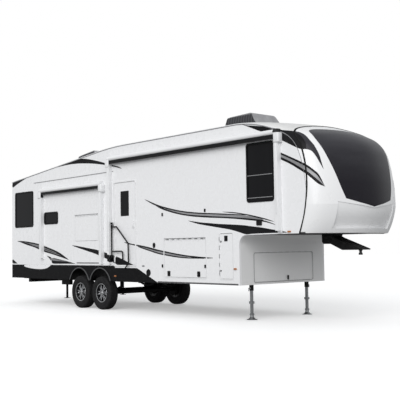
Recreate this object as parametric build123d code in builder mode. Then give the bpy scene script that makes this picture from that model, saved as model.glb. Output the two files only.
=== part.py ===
from build123d import *
import os

# A fifth wheel trailer, parked on its wheels and landing legs.
# Millimetres. +X is the front, +Y the road side, +Z up, and the ground is Z = 0.
# The origin is on the ground at the middle of the overall box.
# A station is a distance forward of the rear wall.

os.makedirs("parts", exist_ok=True)

# Body
BODY_LENGTH = 11050
BODY_WIDTH = 2440
REAR_PROUD = 60
WALL = 50
ROOF_HIGH = 3730
ROOF_REAR = 3250
ROOF_THICK = 60
ROOF_BREAK = 4700
ROOF_BEND = 9800
SKIRT_TOP = 1020
SKIRT_STEP = 970
SKIRT_THICK = 20
BODY_BOTTOM = 670
DECK_TOP = 1030
DECK_THICK = 90
RAISED_BOTTOM = 1615
RAISED_THICK = 90
STORAGE_FLOOR = 780
STORAGE_THICK = 30
OVERHANG = 2210
FRONT_WALL = BODY_LENGTH - OVERHANG
COVE = 190
STORAGE_LONG = 2440
STORAGE_REAR = FRONT_WALL - STORAGE_LONG
SKIRT_SLOPE = (STORAGE_REAR - 770, STORAGE_REAR - 40)
DOOR_STEP = 4800

# Front cap
NOSE_BOW = 360
CORNER_BOW = 520
CORNER_WIDE = 90
MIDDLE_BOW = 105
CAP_THICK = 30
CHIN_HALF = 800
CHIN_LOW = RAISED_BOTTOM + 75
CHIN_TOP = (2055, 2155)
SEAM_GAP = 8

# Running gear
TYRE_RADIUS = 385
TYRE_WIDTH = 235
TYRE_CENTRE = 1090
RIM_RADIUS = 215
AXLE_SPACING = 880
AXLE_MIDDLE = 3765
AXLE_RADIUS = 45
SPINDLE_RADIUS = 35
RUNNING = 0.05
RAIL_CENTRE = 860
RAIL_WIDTH = 75
RAIL_HEIGHT = 300
RAIL_PLATE = 10
ARCH_RADIUS = 430
ARCH_HEIGHT = 520
LIP_WIDE = 22
LIP_PROUD = 15
RAIL_REAR = 60
CROSS_STATIONS = (250, 1400, 2560, AXLE_MIDDLE, 4970, 6200)
FRONT_CROSS_STATIONS = (STORAGE_REAR + 800, FRONT_WALL - 540)
CROSS = 60
DRUM_RADIUS = 150
DRUM_INNER = 930
DRUM_OUTER = 1070
SPINDLE_END = 1168
PAD_TOP = TYRE_RADIUS + AXLE_RADIUS + 10
SPRING_HALF = 330
EYE_LOW = 515
SPRING_WIDE = 60
LEAF_END = 30
LEAF_STACK = 40
REAR_TUBE = 320
REAR_TUBE_HIGH = 90
BEAD_IN = 20
SHOULDER = 20
BARREL = 14
HUB_RADIUS = 85
HUB_IN = -12
HUB_OUT = 78
SPOKE_PAIRS = 6
PAIR_ANGLE = 20
SPOKE_WIDE = 22
SPOKE_IN = 38
SPOKE_THICK = 28
LUG_RING = (44, 76)
LUG_DEEP = 18

# Doors and flaps: station of the rear edge, station of the front edge, bottom, top
ENTRY = (4820, 5570, 1040, 2870)
KITCHEN = (3150, 4130, 1600, 2190)
BAGGAGE = (STORAGE_REAR + 190, FRONT_WALL - 950, 800, 1560)
UTILITY = (FRONT_WALL - 530, FRONT_WALL - 180, 790, 1650)
FRONT_DOOR = (-840, 840, 720, 1270)
DOOR_GAP = 6
LEAF = 38
ENTRY_LEAF = 44
KNUCKLE = 6
HINGE_PLATE = 3
HINGE_REACH = 30
SEAT_GAP = 0.3
KNUCKLE_PITCH = 110
ENTRY_CORNER = 18
ENTRY_HANDLE = (5525, 1930)
HANDLE_WIDE = 40
HANDLE_HIGH = 150
HANDLE_PROUD = 25
RAIL_PIVOT = 4765
RAIL_STAND = 60
RAIL_TUBE = 16
RAIL_LOW = 1200
RAIL_HIGH = 1890
# Middle lines of its two bows: station, height, and the radius of their bends
RAIL_BOWS = (
    (((RAIL_PIVOT, RAIL_HIGH), (4950, RAIL_HIGH), (5390, 1510), (5400, 1090), (5270, 960)), 60),
    (((RAIL_PIVOT, 1340), (5180, 1340), (5190, 1130)), 50),
)

# Windows: station of the rear edge, station of the front edge, bottom, top
REAR_SIDE_WINDOW = (180, 1150, 2000, 2940)
SMALL_WINDOW = (1700, 2370, 2040, 2350)
BEDROOM_WINDOW = (BODY_LENGTH - 1980, BODY_LENGTH - 1280, 2210, 3310)
REAR_WINDOW = (-700, 700, 2000, 2900)
ENTRY_WINDOW = (5030, 5350, 2120, 2680)
SLIDE_WINDOW = (2300, 4300, 1950, 2650)
WINDOW_CORNER = 60
FRAME_WIDE = 35
FRAME_PROUD = 12
PANE = 6
PANE_SEAT = 10

# Slide-out room on the road side
SLIDE = (1500, 5300, 1050, 2900)
SLIDE_DEPTH = 900
SLIDE_WALL = 40
SLIDE_FLANGE = 70
SLIDE_GAP = 10
FASCIA_GAP = 6
FASCIA = 40
SLIDE_LIP = 40
TOPPER_RADIUS = 34
GLIDES = (1800, 3300, 4800)

# Awnings: station of the rear arm, of the front arm, height of the roll, foot of the rear and front arm
AWNINGS = (
    (4675, BODY_LENGTH - 1140, 3440, 1050, 1670),
    (1640, 4340, 2900, 1190, 1050),
)
ROLL_RADIUS = 55
AWNING_PROUD = 120
ARM_WIDE = 85
ARM_DEEP = 95
HEAD_PROUD = 6

# Supports
LEG_STATION = FRONT_WALL - 124
LEG_Y = 794
LEG_TUBE = 60
LEG_INNER = 46
LEG_SPLIT = 555
# Blocks on the inner tube: half width, bottom, top
LEG_BLOCKS = ((38, 305, 350), (32, 85, 120))
# Half section of a foot: radius, height
FOOT = ((0, 0), (106, 0), (106, 8), (70, 16), (36, 52), (36, 85), (0, 85))
STABILISER_STATION = 2200
STABILISER_HALF = 185
STABILISER_WIDE = 90
PAD_THICK = 10
STABILISER_LOW = 520
STABILISER_ROD = 20
STABILISER_FOOT = 180

# Roof units: station of the middle, height
AIR_UNITS = ((FRONT_WALL - 790, 385), (2400, 410))
# Side outline: from the middle, share of the height
AIR_SIDE = ((-440, 0), (-440, 0.5), (-405, 0.86), (-330, 0.93), (200, 1), (300, 0.94), (440, 0.4), (440, 0))
# Front outline: from the middle, share of the height
AIR_FRONT = ((-370, 0), (-370, 0.6), (-345, 0.88), (-270, 1), (270, 1), (345, 0.88), (370, 0.6), (370, 0))
VENTS = (1000, 5900)
VENT = 360
VENT_HIGH = 110
VENT_TAPER = 20

# Lamps
LAMP_WIDE = 130
LAMP_LOW = 1570
LAMP_TOP = 1970
MARKERS = ((FRONT_WALL - 110, 980), (BODY_LENGTH - 930, 1650))
MARKER_LONG = 70
MARKER_HIGH = 32
MARKER_PROUD = 18

# Pin box and kingpin
PIN_STATION = BODY_LENGTH - 330
PIN_PLATE_LOW = 1310
PIN_BOX_WIDTH = 300
PIN_SHANK = 25.4
PIN_HEAD = 35.7
PIN_BOTTOM = 1220
PIN_NECK_LOW = 1256
PIN_NECK_TOP = 1296
PIN_PLATE = 20
PIN_FIT = 0.3
# Side outline of the pin box: forward of the pin, height
PIN_PROFILE = (
    (-770, RAISED_BOTTOM),
    (-770, 1460),
    (-730, 1425),
    (-568, 1425),
    (-300, PIN_PLATE_LOW),
    (105, PIN_PLATE_LOW),
    (105, PIN_PLATE_LOW + PIN_PLATE),
    (-480, 1540),
    (-530, 1565),
    (-510, RAISED_BOTTOM),
)

SIDE = BODY_WIDTH / 2
INSIDE = SIDE - WALL
REAR = (REAR_PROUD - BODY_LENGTH) / 2
RAIL_TOP = DECK_TOP - DECK_THICK
RAIL_BOTTOM = RAIL_TOP - RAIL_HEIGHT
RAISED_TOP = RAISED_BOTTOM + RAISED_THICK
FRONT_RAIL_TOP = STORAGE_FLOOR - STORAGE_THICK


def at(station):
    """X of a station."""
    return REAR + station


FRONT = at(FRONT_WALL)
AXLES = (at(AXLE_MIDDLE - AXLE_SPACING / 2), at(AXLE_MIDDLE + AXLE_SPACING / 2))


def box(x0, x1, y0, y1, z0, z1):
    """A block between two corners, added to the open part."""
    with Locations(((x0 + x1) / 2, (y0 + y1) / 2, (z0 + z1) / 2)):
        Box(x1 - x0, y1 - y0, z1 - z0)


def save(piece, name):
    """Label a finished piece and write its file."""
    piece.label = name
    export_step(piece, f"parts/{name}.step")


# Nose curve on the centre line, as arcs through every second point: set back from the nose, height
NOSE = (
    (190, RAISED_BOTTOM),
    (70, 1850),
    (0, 2110),
    (45, 2650),
    (140, 3030),
    (300, 3290),
    (520, 3440),
    (1080, 3640),
    (1700, ROOF_HIGH),
)
# The same curve inside the recess of the chin
CHIN = ((225, CHIN_LOW), (150, 1800), (88, 1900), (24, 2060), (10, 2230)) + NOSE[3:]
LOFT_BACK = BODY_LENGTH - 2350
# Ribs of the front: distance from the centre line, set back
RIBS = (
    (SIDE, CORNER_BOW),
    (SIDE - CORNER_WIDE, NOSE_BOW),
    (SIDE / 2, MIDDLE_BOW),
    (0, 0),
)
# Seam between the walls and the cap, as an arc and two lines: set back from the nose, height
SEAM = ((760, 1500), (518, 2350), (665, 3200), (895, 3480), (1130, 3800))


def rib(y, back, inset, bottom, curve):
    """Closed side outline of the front at one distance from the centre line."""
    points = []
    for i, (set_back, height) in enumerate(curve):
        before = curve[max(i - 1, 0)]
        after = curve[min(i + 1, len(curve) - 1)]
        run, rise = after[0] - before[0], after[1] - before[1]
        size = (run * run + rise * rise) ** 0.5
        x = at(BODY_LENGTH - back - set_back) - inset * rise / size
        z = height - inset * run / size if i else max(bottom, height)
        points.append((x, min(z, ROOF_HIGH - inset)))
    start = (points[0][0], bottom) if bottom < RAISED_BOTTOM else None
    with BuildSketch(Plane(origin=(0, y, 0), x_dir=(1, 0, 0), z_dir=(0, -1, 0))) as face:
        with BuildLine():
            for i in range(0, len(points) - 2, 2):
                ThreePointArc(points[i], points[i + 1], points[i + 2])
            corners = [points[-1], (at(LOFT_BACK), points[-1][1]), (at(LOFT_BACK), bottom), points[0]]
            if start:
                corners.insert(3, start)
            Polyline(*corners)
        make_face()
    return face.sketch


def front_body(inset, half, bottom, curve=NOSE):
    """The front of the body as one solid, set in from the outside."""
    right = [rib(-y * half / SIDE, back, inset, bottom, curve) for y, back in RIBS]
    left = [rib(y * half / SIDE, back, inset, bottom, curve) for y, back in reversed(RIBS[:-1])]
    with BuildPart() as solid:
        loft(sections=right + left)
    return solid.part


def side_outline(drop):
    """Long outline of the rear body up to the front loft, its roof lowered by drop."""
    with BuildLine() as line:
        FilletPolyline(
            (at(0), ROOF_REAR - drop),
            (at(ROOF_BREAK), ROOF_HIGH - drop),
            (at(LOFT_BACK), ROOF_HIGH - drop),
            radius=ROOF_BEND,
        )
        Polyline((at(LOFT_BACK), ROOF_HIGH - drop), (at(LOFT_BACK), BODY_BOTTOM), (at(0), BODY_BOTTOM),
                 (at(0), ROOF_REAR - drop))
    return line.line


def envelope(drop, half, bottom):
    """Everything under a surface that lies drop inside the roof and nose."""
    with BuildPart() as solid:
        with BuildSketch(Plane.XZ.offset(-half)):
            add(side_outline(drop))
            make_face()
        extrude(amount=2 * half)
        add(front_body(drop, half, bottom))
    return solid.part


def behind_seam(offset):
    """A tall prism of everything behind the cap's seam, shifted forward by offset."""
    points = [(at(BODY_LENGTH - back) + offset, height) for back, height in SEAM]
    with BuildPart() as solid:
        with BuildSketch(Plane.XZ.offset(-2 * SIDE)):
            with BuildLine():
                ThreePointArc(*points[:3])
                Polyline(points[2], points[3], points[4], (at(-WALL), points[4][1]), (at(-WALL), 0),
                         (points[0][0], 0), points[0])
            make_face()
        extrude(amount=4 * SIDE)
    return solid.part


OUTER = envelope(0, SIDE, RAISED_BOTTOM)
UNDER_ROOF = envelope(ROOF_THICK, SIDE, BODY_BOTTOM)
BEHIND = behind_seam(0)
BEHIND_CAP = behind_seam(SEAM_GAP)

# Floors: the living deck, the storage bay's floor and the raised bedroom floor
with BuildPart() as raised:
    box(at(STORAGE_REAR), at(BODY_LENGTH), -INSIDE, INSIDE, RAISED_BOTTOM, RAISED_TOP)
    add(BEHIND, mode=Mode.INTERSECT)
with BuildPart() as floors:
    box(at(WALL), at(STORAGE_REAR), -INSIDE, INSIDE, RAIL_TOP, DECK_TOP)
    box(at(STORAGE_REAR + WALL), at(FRONT_WALL - WALL), -INSIDE, INSIDE, FRONT_RAIL_TOP, STORAGE_FLOOR)
    add(raised.part)
save(floors.part, "floors")

# Wall between the living space and the storage bay
with BuildPart() as inner_wall:
    box(at(STORAGE_REAR), at(STORAGE_REAR + WALL), -INSIDE, INSIDE, FRONT_RAIL_TOP, RAISED_BOTTOM)
save(inner_wall.part, "inner_wall")


def hole(area, grow, corner):
    """Cut a rounded opening in the open sketch, grown all round."""
    low, high, bottom, top = area
    with Locations(((low + high) / 2, (bottom + top) / 2)):
        RectangleRounded(high - low + 2 * grow, top - bottom + 2 * grow, corner, mode=Mode.SUBTRACT)


def along(area):
    """The same area with stations turned into X."""
    return (at(area[0]), at(area[1]), area[2], area[3])


def side_wall(side, doors, windows):
    """A side wall: 1 for the curb side, -1 for the road side."""
    with BuildPart() as wall:
        with BuildSketch(Plane.XZ.offset(side * SIDE)):
            with BuildLine():
                Polyline(
                    (FRONT, RAISED_BOTTOM - COVE),
                    (FRONT, BODY_BOTTOM),
                    (at(SKIRT_SLOPE[1]), BODY_BOTTOM),
                    (at(SKIRT_SLOPE[0]), SKIRT_STEP),
                    (at(DOOR_STEP), SKIRT_STEP),
                    (at(DOOR_STEP), SKIRT_TOP),
                    (at(0), SKIRT_TOP),
                    (at(0), ROOF_HIGH),
                    (at(BODY_LENGTH), ROOF_HIGH),
                    (at(BODY_LENGTH), RAISED_BOTTOM),
                    (FRONT + COVE, RAISED_BOTTOM),
                )
                RadiusArc((FRONT, RAISED_BOTTOM - COVE), (FRONT + COVE, RAISED_BOTTOM), COVE)
            make_face()
            for area, gap in doors:
                hole(along(area), gap, WINDOW_CORNER / 2)
            for area in windows:
                hole(along(area), PANE_SEAT - FRAME_WIDE, WINDOW_CORNER - FRAME_WIDE + PANE_SEAT)
        extrude(amount=-side * WALL)
        add(UNDER_ROOF, mode=Mode.INTERSECT)
        add(BEHIND, mode=Mode.INTERSECT)
    return wall.part


# Side walls
CURB_DOORS = ((ENTRY, DOOR_GAP), (KITCHEN, DOOR_GAP), (BAGGAGE, DOOR_GAP), (UTILITY, DOOR_GAP))
CURB_WINDOWS = (REAR_SIDE_WINDOW, SMALL_WINDOW, BEDROOM_WINDOW)
ROAD_DOORS = ((SLIDE, SLIDE_GAP), (BAGGAGE, DOOR_GAP))
ROAD_WINDOWS = (REAR_SIDE_WINDOW, BEDROOM_WINDOW)
wall_curb = side_wall(1, CURB_DOORS, CURB_WINDOWS)
save(wall_curb, "wall_curb")
wall_road = side_wall(-1, ROAD_DOORS, ROAD_WINDOWS)
save(wall_road, "wall_road")

# Rear wall
with BuildPart() as wall_rear:
    with BuildSketch(Plane.YZ.offset(at(0))):
        with Locations((0, (BODY_BOTTOM + ROOF_HIGH) / 2)):
            Rectangle(2 * INSIDE, ROOF_HIGH - BODY_BOTTOM)
        hole(REAR_WINDOW, PANE_SEAT - FRAME_WIDE, WINDOW_CORNER - FRAME_WIDE + PANE_SEAT)
    extrude(amount=WALL)
    add(UNDER_ROOF, mode=Mode.INTERSECT)
save(wall_rear.part, "wall_rear")

# Front wall of the storage bay, with the cove up to the overhang
with BuildPart() as wall_front:
    with BuildSketch(Plane.XZ.offset(-INSIDE)):
        with BuildLine():
            Polyline(
                (FRONT, RAISED_BOTTOM - COVE),
                (FRONT, BODY_BOTTOM),
                (FRONT - WALL, BODY_BOTTOM),
                (FRONT - WALL, RAISED_BOTTOM),
                (FRONT + COVE, RAISED_BOTTOM),
            )
            RadiusArc((FRONT, RAISED_BOTTOM - COVE), (FRONT + COVE, RAISED_BOTTOM), COVE)
        make_face()
    extrude(amount=2 * INSIDE)
    with BuildSketch(Plane.YZ.offset(FRONT)):
        low, high, bottom, top = FRONT_DOOR
        with Locations(((low + high) / 2, (bottom + top) / 2)):
            RectangleRounded(high - low + 2 * DOOR_GAP, top - bottom + 2 * DOOR_GAP, WINDOW_CORNER / 2)
    extrude(amount=-WALL, mode=Mode.SUBTRACT)
save(wall_front.part, "wall_front")

# Roof
with BuildPart() as roof:
    add(OUTER)
    add(UNDER_ROOF, mode=Mode.SUBTRACT)
    add(BEHIND, mode=Mode.INTERSECT)
save(roof.part, "roof")


def chin(inset):
    """What the recess of the chin takes from the front, grown all round by the inset."""
    half = CHIN_HALF + inset
    middle, crease = (height + inset for height in CHIN_TOP)
    low = CHIN_LOW - inset
    with BuildPart() as recess:
        with BuildSketch(Plane.YZ.offset(at(LOFT_BACK) + inset)):
            with BuildLine():
                Polyline((-half, low), (half, low), (half, crease), (0, middle), (-half, crease), close=True)
            make_face()
        extrude(amount=BODY_LENGTH)
        add(front_body(inset, SIDE - inset, low, CHIN), mode=Mode.SUBTRACT)
    return recess.part


# Front cap, recessed under its mask, and the gasket in its seam
with BuildPart() as hollow:
    add(front_body(CAP_THICK, SIDE - CAP_THICK, RAISED_BOTTOM + CAP_THICK))
    add(chin(CAP_THICK), mode=Mode.SUBTRACT)
with BuildPart() as shell:
    add(front_body(0, SIDE, RAISED_BOTTOM))
    add(chin(0), mode=Mode.SUBTRACT)
    add(hollow.part, mode=Mode.SUBTRACT)
with BuildPart() as front_cap:
    add(shell.part)
    add(BEHIND_CAP, mode=Mode.SUBTRACT)
save(front_cap.part, "front_cap")
with BuildPart() as cap_seal:
    add(shell.part)
    add(BEHIND_CAP, mode=Mode.INTERSECT)
    add(BEHIND, mode=Mode.SUBTRACT)
save(cap_seal.part, "cap_seal")

# Black skirts below the walls, open at the wheel arches
with BuildPart() as skirts:
    for side in (1, -1):
        with BuildSketch(Plane.XZ.offset(side * SIDE)):
            with BuildLine():
                Polyline(
                    (at(0), BODY_BOTTOM),
                    (at(0), SKIRT_TOP),
                    (at(DOOR_STEP), SKIRT_TOP),
                    (at(DOOR_STEP), SKIRT_STEP),
                    (at(SKIRT_SLOPE[0]), SKIRT_STEP),
                    (at(SKIRT_SLOPE[1]), BODY_BOTTOM),
                    close=True,
                )
            make_face()
            with Locations(*[(x, ARCH_HEIGHT) for x in AXLES]):
                Circle(ARCH_RADIUS, mode=Mode.SUBTRACT)
        extrude(amount=-side * SKIRT_THICK)
save(skirts.part, "skirts")

# Moulded lips round the wheel arches
with BuildPart() as arch_lips:
    for side in (1, -1):
        with BuildSketch(Plane.XZ.offset(side * SIDE)):
            for x in AXLES:
                with Locations((x, ARCH_HEIGHT)):
                    Circle(ARCH_RADIUS + LIP_WIDE)
                    Circle(ARCH_RADIUS, mode=Mode.SUBTRACT)
            with Locations(((AXLES[0] + AXLES[1]) / 2, BODY_BOTTOM - ARCH_RADIUS)):
                Rectangle(AXLE_SPACING + 3 * ARCH_RADIUS, 2 * ARCH_RADIUS, mode=Mode.SUBTRACT)
        extrude(amount=side * LIP_PROUD)
save(arch_lips.part, "arch_lips")

# Main frame: I-section rails under the deck, box rails under the storage bay
with BuildPart() as main_rails:
    for side in (1, -1):
        with BuildSketch(Plane.YZ.offset(at(RAIL_REAR))):
            with Locations((side * RAIL_CENTRE, RAIL_TOP - RAIL_HEIGHT / 2)):
                Rectangle(RAIL_WIDTH, RAIL_HEIGHT)
                for edge in (1, -1):
                    with Locations((edge * (RAIL_WIDTH + RAIL_PLATE) / 4, 0)):
                        Rectangle((RAIL_WIDTH - RAIL_PLATE) / 2, RAIL_HEIGHT - 2 * RAIL_PLATE, mode=Mode.SUBTRACT)
        extrude(amount=STORAGE_REAR - RAIL_REAR)
        y = side * RAIL_CENTRE
        box(at(STORAGE_REAR), FRONT - WALL, y - RAIL_WIDTH / 2, y + RAIL_WIDTH / 2, BODY_BOTTOM, FRONT_RAIL_TOP)
save(main_rails.part, "main_rails")

# Crossmembers between the rails, and the tube across the rear below them
with BuildPart() as crossmembers:
    web = RAIL_CENTRE - RAIL_PLATE / 2
    for station in CROSS_STATIONS:
        box(at(station), at(station) + CROSS, -web, web, RAIL_BOTTOM + CROSS, RAIL_TOP - CROSS)
    inner = RAIL_CENTRE - RAIL_WIDTH / 2
    outer = RAIL_CENTRE + RAIL_WIDTH / 2
    for station in FRONT_CROSS_STATIONS:
        box(at(station), at(station) + CROSS, -inner, inner, BODY_BOTTOM + RAIL_PLATE, FRONT_RAIL_TOP)
    box(at(REAR_TUBE), at(REAR_TUBE) + 2 * CROSS, -outer, outer, RAIL_BOTTOM - REAR_TUBE_HIGH, RAIL_BOTTOM)
save(crossmembers.part, "crossmembers")

# Closed underbelly between the rails
with BuildPart() as belly_pan:
    box(at(2 * RAIL_REAR), at(STORAGE_REAR), -inner, inner, RAIL_BOTTOM, RAIL_BOTTOM + RAIL_PLATE)
save(belly_pan.part, "belly_pan")

# Axles: tube, spring pads, brake drums and spindles
with BuildPart() as axles:
    for x in AXLES:
        with Locations((x, 0, TYRE_RADIUS)):
            Cylinder(AXLE_RADIUS, 2 * DRUM_INNER, rotation=(90, 0, 0))
        for side in (1, -1):
            with BuildSketch(Plane.XZ.offset(side * DRUM_INNER)):
                with Locations((x, TYRE_RADIUS)):
                    Circle(DRUM_RADIUS)
            extrude(amount=side * (DRUM_OUTER - DRUM_INNER))
            with BuildSketch(Plane.XZ.offset(side * DRUM_OUTER)):
                with Locations((x, TYRE_RADIUS)):
                    Circle(SPINDLE_RADIUS)
            extrude(amount=side * (SPINDLE_END - DRUM_OUTER))
            box(x - CROSS, x + CROSS, side * RAIL_CENTRE - SPRING_WIDE / 2, side * RAIL_CENTRE + SPRING_WIDE / 2,
                TYRE_RADIUS, PAD_TOP)
save(axles.part, "axles")

# Leaf springs over the axles
with BuildPart() as leaf_springs:
    for side in (1, -1):
        for x in AXLES:
            with BuildSketch(Plane.XZ.offset(side * RAIL_CENTRE - SPRING_WIDE / 2)):
                with BuildLine():
                    ends = [(x - SPRING_HALF, EYE_LOW), (x + SPRING_HALF, EYE_LOW)]
                    tops = [(x, z + LEAF_END) for x, z in ends]
                    ThreePointArc(ends[0], (x, PAD_TOP), ends[1])
                    ThreePointArc(tops[0], (x, PAD_TOP + LEAF_STACK), tops[1])
                    Line(ends[0], tops[0])
                    Line(ends[1], tops[1])
                make_face()
            extrude(amount=SPRING_WIDE)
save(leaf_springs.part, "leaf_springs")

# Spring hangers, with an equaliser between the two springs of a side
with BuildPart() as spring_hangers:
    outer_end = AXLE_SPACING / 2 + SPRING_HALF
    inner_end = AXLE_SPACING / 2 - SPRING_HALF
    for side in (1, -1):
        y0 = side * RAIL_CENTRE - SPRING_WIDE / 2 - RAIL_PLATE / 2
        y1 = side * RAIL_CENTRE + SPRING_WIDE / 2 + RAIL_PLATE / 2
        for end in (1, -1):
            x = at(AXLE_MIDDLE) + end * (outer_end + CROSS / 2)
            box(x - CROSS / 2, x + CROSS / 2, y0, y1, EYE_LOW - RAIL_PLATE, RAIL_BOTTOM)
        x = at(AXLE_MIDDLE)
        box(x - CROSS / 2, x + CROSS / 2, y0, y1, EYE_LOW, RAIL_BOTTOM)
        box(x - inner_end, x + inner_end, y0, y1, EYE_LOW - RAIL_PLATE, EYE_LOW + LEAF_END + RAIL_PLATE)
save(spring_hangers.part, "spring_hangers")


def wheel_plane(x, side):
    """Plane of a wheel's section: local x radial, local y along the axle, outward. Curb side is 1."""
    return Plane(origin=(x, -side * TYRE_CENTRE, TYRE_RADIUS), x_dir=(1, 0, 0), z_dir=(0, 0, -side))


def tyre(x, side):
    """A tyre with rounded shoulders."""
    half = TYRE_WIDTH / 2
    with BuildPart() as ring:
        with BuildSketch(wheel_plane(x, side)) as section:
            with BuildLine():
                bead = (RIM_RADIUS, half - BEAD_IN)
                bulge = ((RIM_RADIUS + TYRE_RADIUS) / 2, half)
                shoulder = (TYRE_RADIUS - SHOULDER, half - SHOULDER / 2)
                tread = (TYRE_RADIUS, half - 2 * SHOULDER)
                ThreePointArc(bead, bulge, shoulder)
                Line(shoulder, tread)
                Line(tread, (tread[0], -tread[1]))
                Line((tread[0], -tread[1]), (shoulder[0], -shoulder[1]))
                ThreePointArc((bead[0], -bead[1]), (bulge[0], -bulge[1]), (shoulder[0], -shoulder[1]))
                Line((bead[0], -bead[1]), bead)
            make_face()
        revolve(axis=Axis((x, 0, TYRE_RADIUS), (0, 1, 0)))
    return ring.part


def rim(x, side):
    """A cast wheel: barrel, paired spokes and a bored hub with a sunk ring for the lug nuts."""
    plane = wheel_plane(x, side)
    half = TYRE_WIDTH / 2 - BEAD_IN
    with BuildPart() as wheel:
        with BuildSketch(plane):
            with Locations((RIM_RADIUS - BARREL / 2, 0)):
                Rectangle(BARREL, 2 * half)
            with Locations((HUB_RADIUS / 2, (HUB_IN + HUB_OUT) / 2)):
                Rectangle(HUB_RADIUS, HUB_OUT - HUB_IN)
        revolve(axis=Axis((x, 0, TYRE_RADIUS), (0, 1, 0)))
        face = Plane.XZ.offset(side * (TYRE_CENTRE + SPOKE_IN))
        with BuildSketch(face):
            with Locations((x, TYRE_RADIUS)):
                for turn in (-PAIR_ANGLE / 2, PAIR_ANGLE / 2):
                    with PolarLocations(0, SPOKE_PAIRS, start_angle=turn):
                        with Locations((RIM_RADIUS / 2, 0)):
                            Rectangle(RIM_RADIUS - BARREL, SPOKE_WIDE)
                Circle(HUB_RADIUS / 2, mode=Mode.SUBTRACT)
        extrude(amount=side * SPOKE_THICK)
        with BuildSketch(Plane.XZ.offset(side * (TYRE_CENTRE + HUB_OUT))):
            with Locations((x, TYRE_RADIUS)):
                Circle(LUG_RING[1])
                Circle(LUG_RING[0], mode=Mode.SUBTRACT)
        extrude(amount=-side * LUG_DEEP, mode=Mode.SUBTRACT)
        with BuildSketch(Plane.XZ.offset(side * (TYRE_CENTRE + HUB_IN))):
            with Locations((x, TYRE_RADIUS)):
                Circle(SPINDLE_RADIUS + RUNNING)
        extrude(amount=side * (HUB_OUT - HUB_IN), mode=Mode.SUBTRACT)
    return wheel.part


# Wheels
WHEELS = (
    ("curb_front", AXLES[1], 1),
    ("curb_rear", AXLES[0], 1),
    ("road_front", AXLES[1], -1),
    ("road_rear", AXLES[0], -1),
)
for place, x, side in WHEELS:
    save(tyre(x, side), f"tyre_{place}")
    save(rim(x, side), f"rim_{place}")


def ring(area, wide, corner):
    """A rounded frame in the open sketch, as large as the area."""
    low, high, bottom, top = area
    with Locations(((low + high) / 2, (bottom + top) / 2)):
        RectangleRounded(high - low, top - bottom, corner)
        RectangleRounded(high - low - 2 * wide, top - bottom - 2 * wide, corner - wide / 2, mode=Mode.SUBTRACT)


def plate(area, inset, corner):
    """A rounded plate in the open sketch, set in from the area."""
    low, high, bottom, top = area
    with Locations(((low + high) / 2, (bottom + top) / 2)):
        RectangleRounded(high - low - 2 * inset, top - bottom - 2 * inset, corner)


# Window frames on the outside of the walls, and the panes behind them
PANE_IN = FRAME_WIDE - PANE_SEAT
SIDE_WINDOWS = ((1, CURB_WINDOWS), (-1, ROAD_WINDOWS))
with BuildPart() as window_frames:
    for side, windows in SIDE_WINDOWS:
        with BuildSketch(Plane.XZ.offset(side * SIDE)):
            for area in windows:
                ring(along(area), FRAME_WIDE, WINDOW_CORNER)
        extrude(amount=side * FRAME_PROUD)
    with BuildSketch(Plane.YZ.offset(at(0))):
        ring(REAR_WINDOW, FRAME_WIDE, WINDOW_CORNER)
    extrude(amount=-FRAME_PROUD)
save(window_frames.part, "window_frames")
with BuildPart() as window_panes:
    for side, windows in SIDE_WINDOWS:
        with BuildSketch(Plane.XZ.offset(side * SIDE)):
            for area in windows:
                plate(along(area), PANE_IN, WINDOW_CORNER - PANE_IN)
        extrude(amount=-side * PANE)
    with BuildSketch(Plane.YZ.offset(at(0))):
        plate(REAR_WINDOW, PANE_IN, WINDOW_CORNER - PANE_IN)
    extrude(amount=PANE)
save(window_panes.part, "window_panes")


# Hinged panels. A hinge plane lies on the wall's outer face with its origin at the middle of the hinge edge
# of the panel: local x along the hinge, local y from the panel past the hinge, local z outward.
def hinge_plane(area, side, edge):
    """Hinge plane of a panel in a side wall, hinged at its top or its rear edge."""
    low, high, bottom, top = along(area)
    if edge == "top":
        return Plane(origin=((low + high) / 2, -side * SIDE, top), x_dir=(side, 0, 0), z_dir=(0, -side, 0))
    return Plane(origin=(low, -side * SIDE, (bottom + top) / 2), x_dir=(0, 0, 1), z_dir=(0, -side, 0))


def knuckles(length, moving):
    """Middles of a hinge's knuckles along its length: every second one moves."""
    count = max(3, 2 * round(length / KNUCKLE_PITCH / 2) + 1)
    pitch = (length - 2 * WINDOW_CORNER) / count
    return [(i - (count - 1) / 2) * pitch for i in range(count) if (i % 2 == 1) == moving], pitch - SEAT_GAP


def hinge_half(length, moving):
    """One leaf of a hinge with its knuckles, in the open part on its hinge plane."""
    places, size = knuckles(length, moving)
    axis_y = DOOR_GAP / 2
    sign = -1 if moving else 1
    for x in places:
        with Locations((x, axis_y, KNUCKLE)):
            Cylinder(KNUCKLE, size, rotation=(0, 90, 0))
        with Locations((x, axis_y + sign * HINGE_REACH / 2, HINGE_PLATE / 2)):
            Box(size, HINGE_REACH, HINGE_PLATE)


def panel(plane, length, width, thick, corner=WINDOW_CORNER / 2):
    """A hinged panel, flush with the wall, with its half of the hinge."""
    with BuildPart(plane) as leaf:
        with BuildSketch(plane):
            with Locations((0, -width / 2)):
                RectangleRounded(length, width, corner)
        extrude(amount=-thick)
        hinge_half(length, True)
    return leaf.part


def size_of(area):
    """Length along X and height of an area."""
    return area[1] - area[0], area[3] - area[2]


KITCHEN_PLANE = hinge_plane(KITCHEN, 1, "top")
BAGGAGE_CURB_PLANE = hinge_plane(BAGGAGE, 1, "top")
BAGGAGE_ROAD_PLANE = hinge_plane(BAGGAGE, -1, "top")
UTILITY_PLANE = hinge_plane(UTILITY, 1, "rear")
ENTRY_PLANE = hinge_plane(ENTRY, 1, "rear")
FRONT_PLANE = Plane(origin=(FRONT, 0, FRONT_DOOR[3]), x_dir=(0, 1, 0), z_dir=(1, 0, 0))

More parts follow.
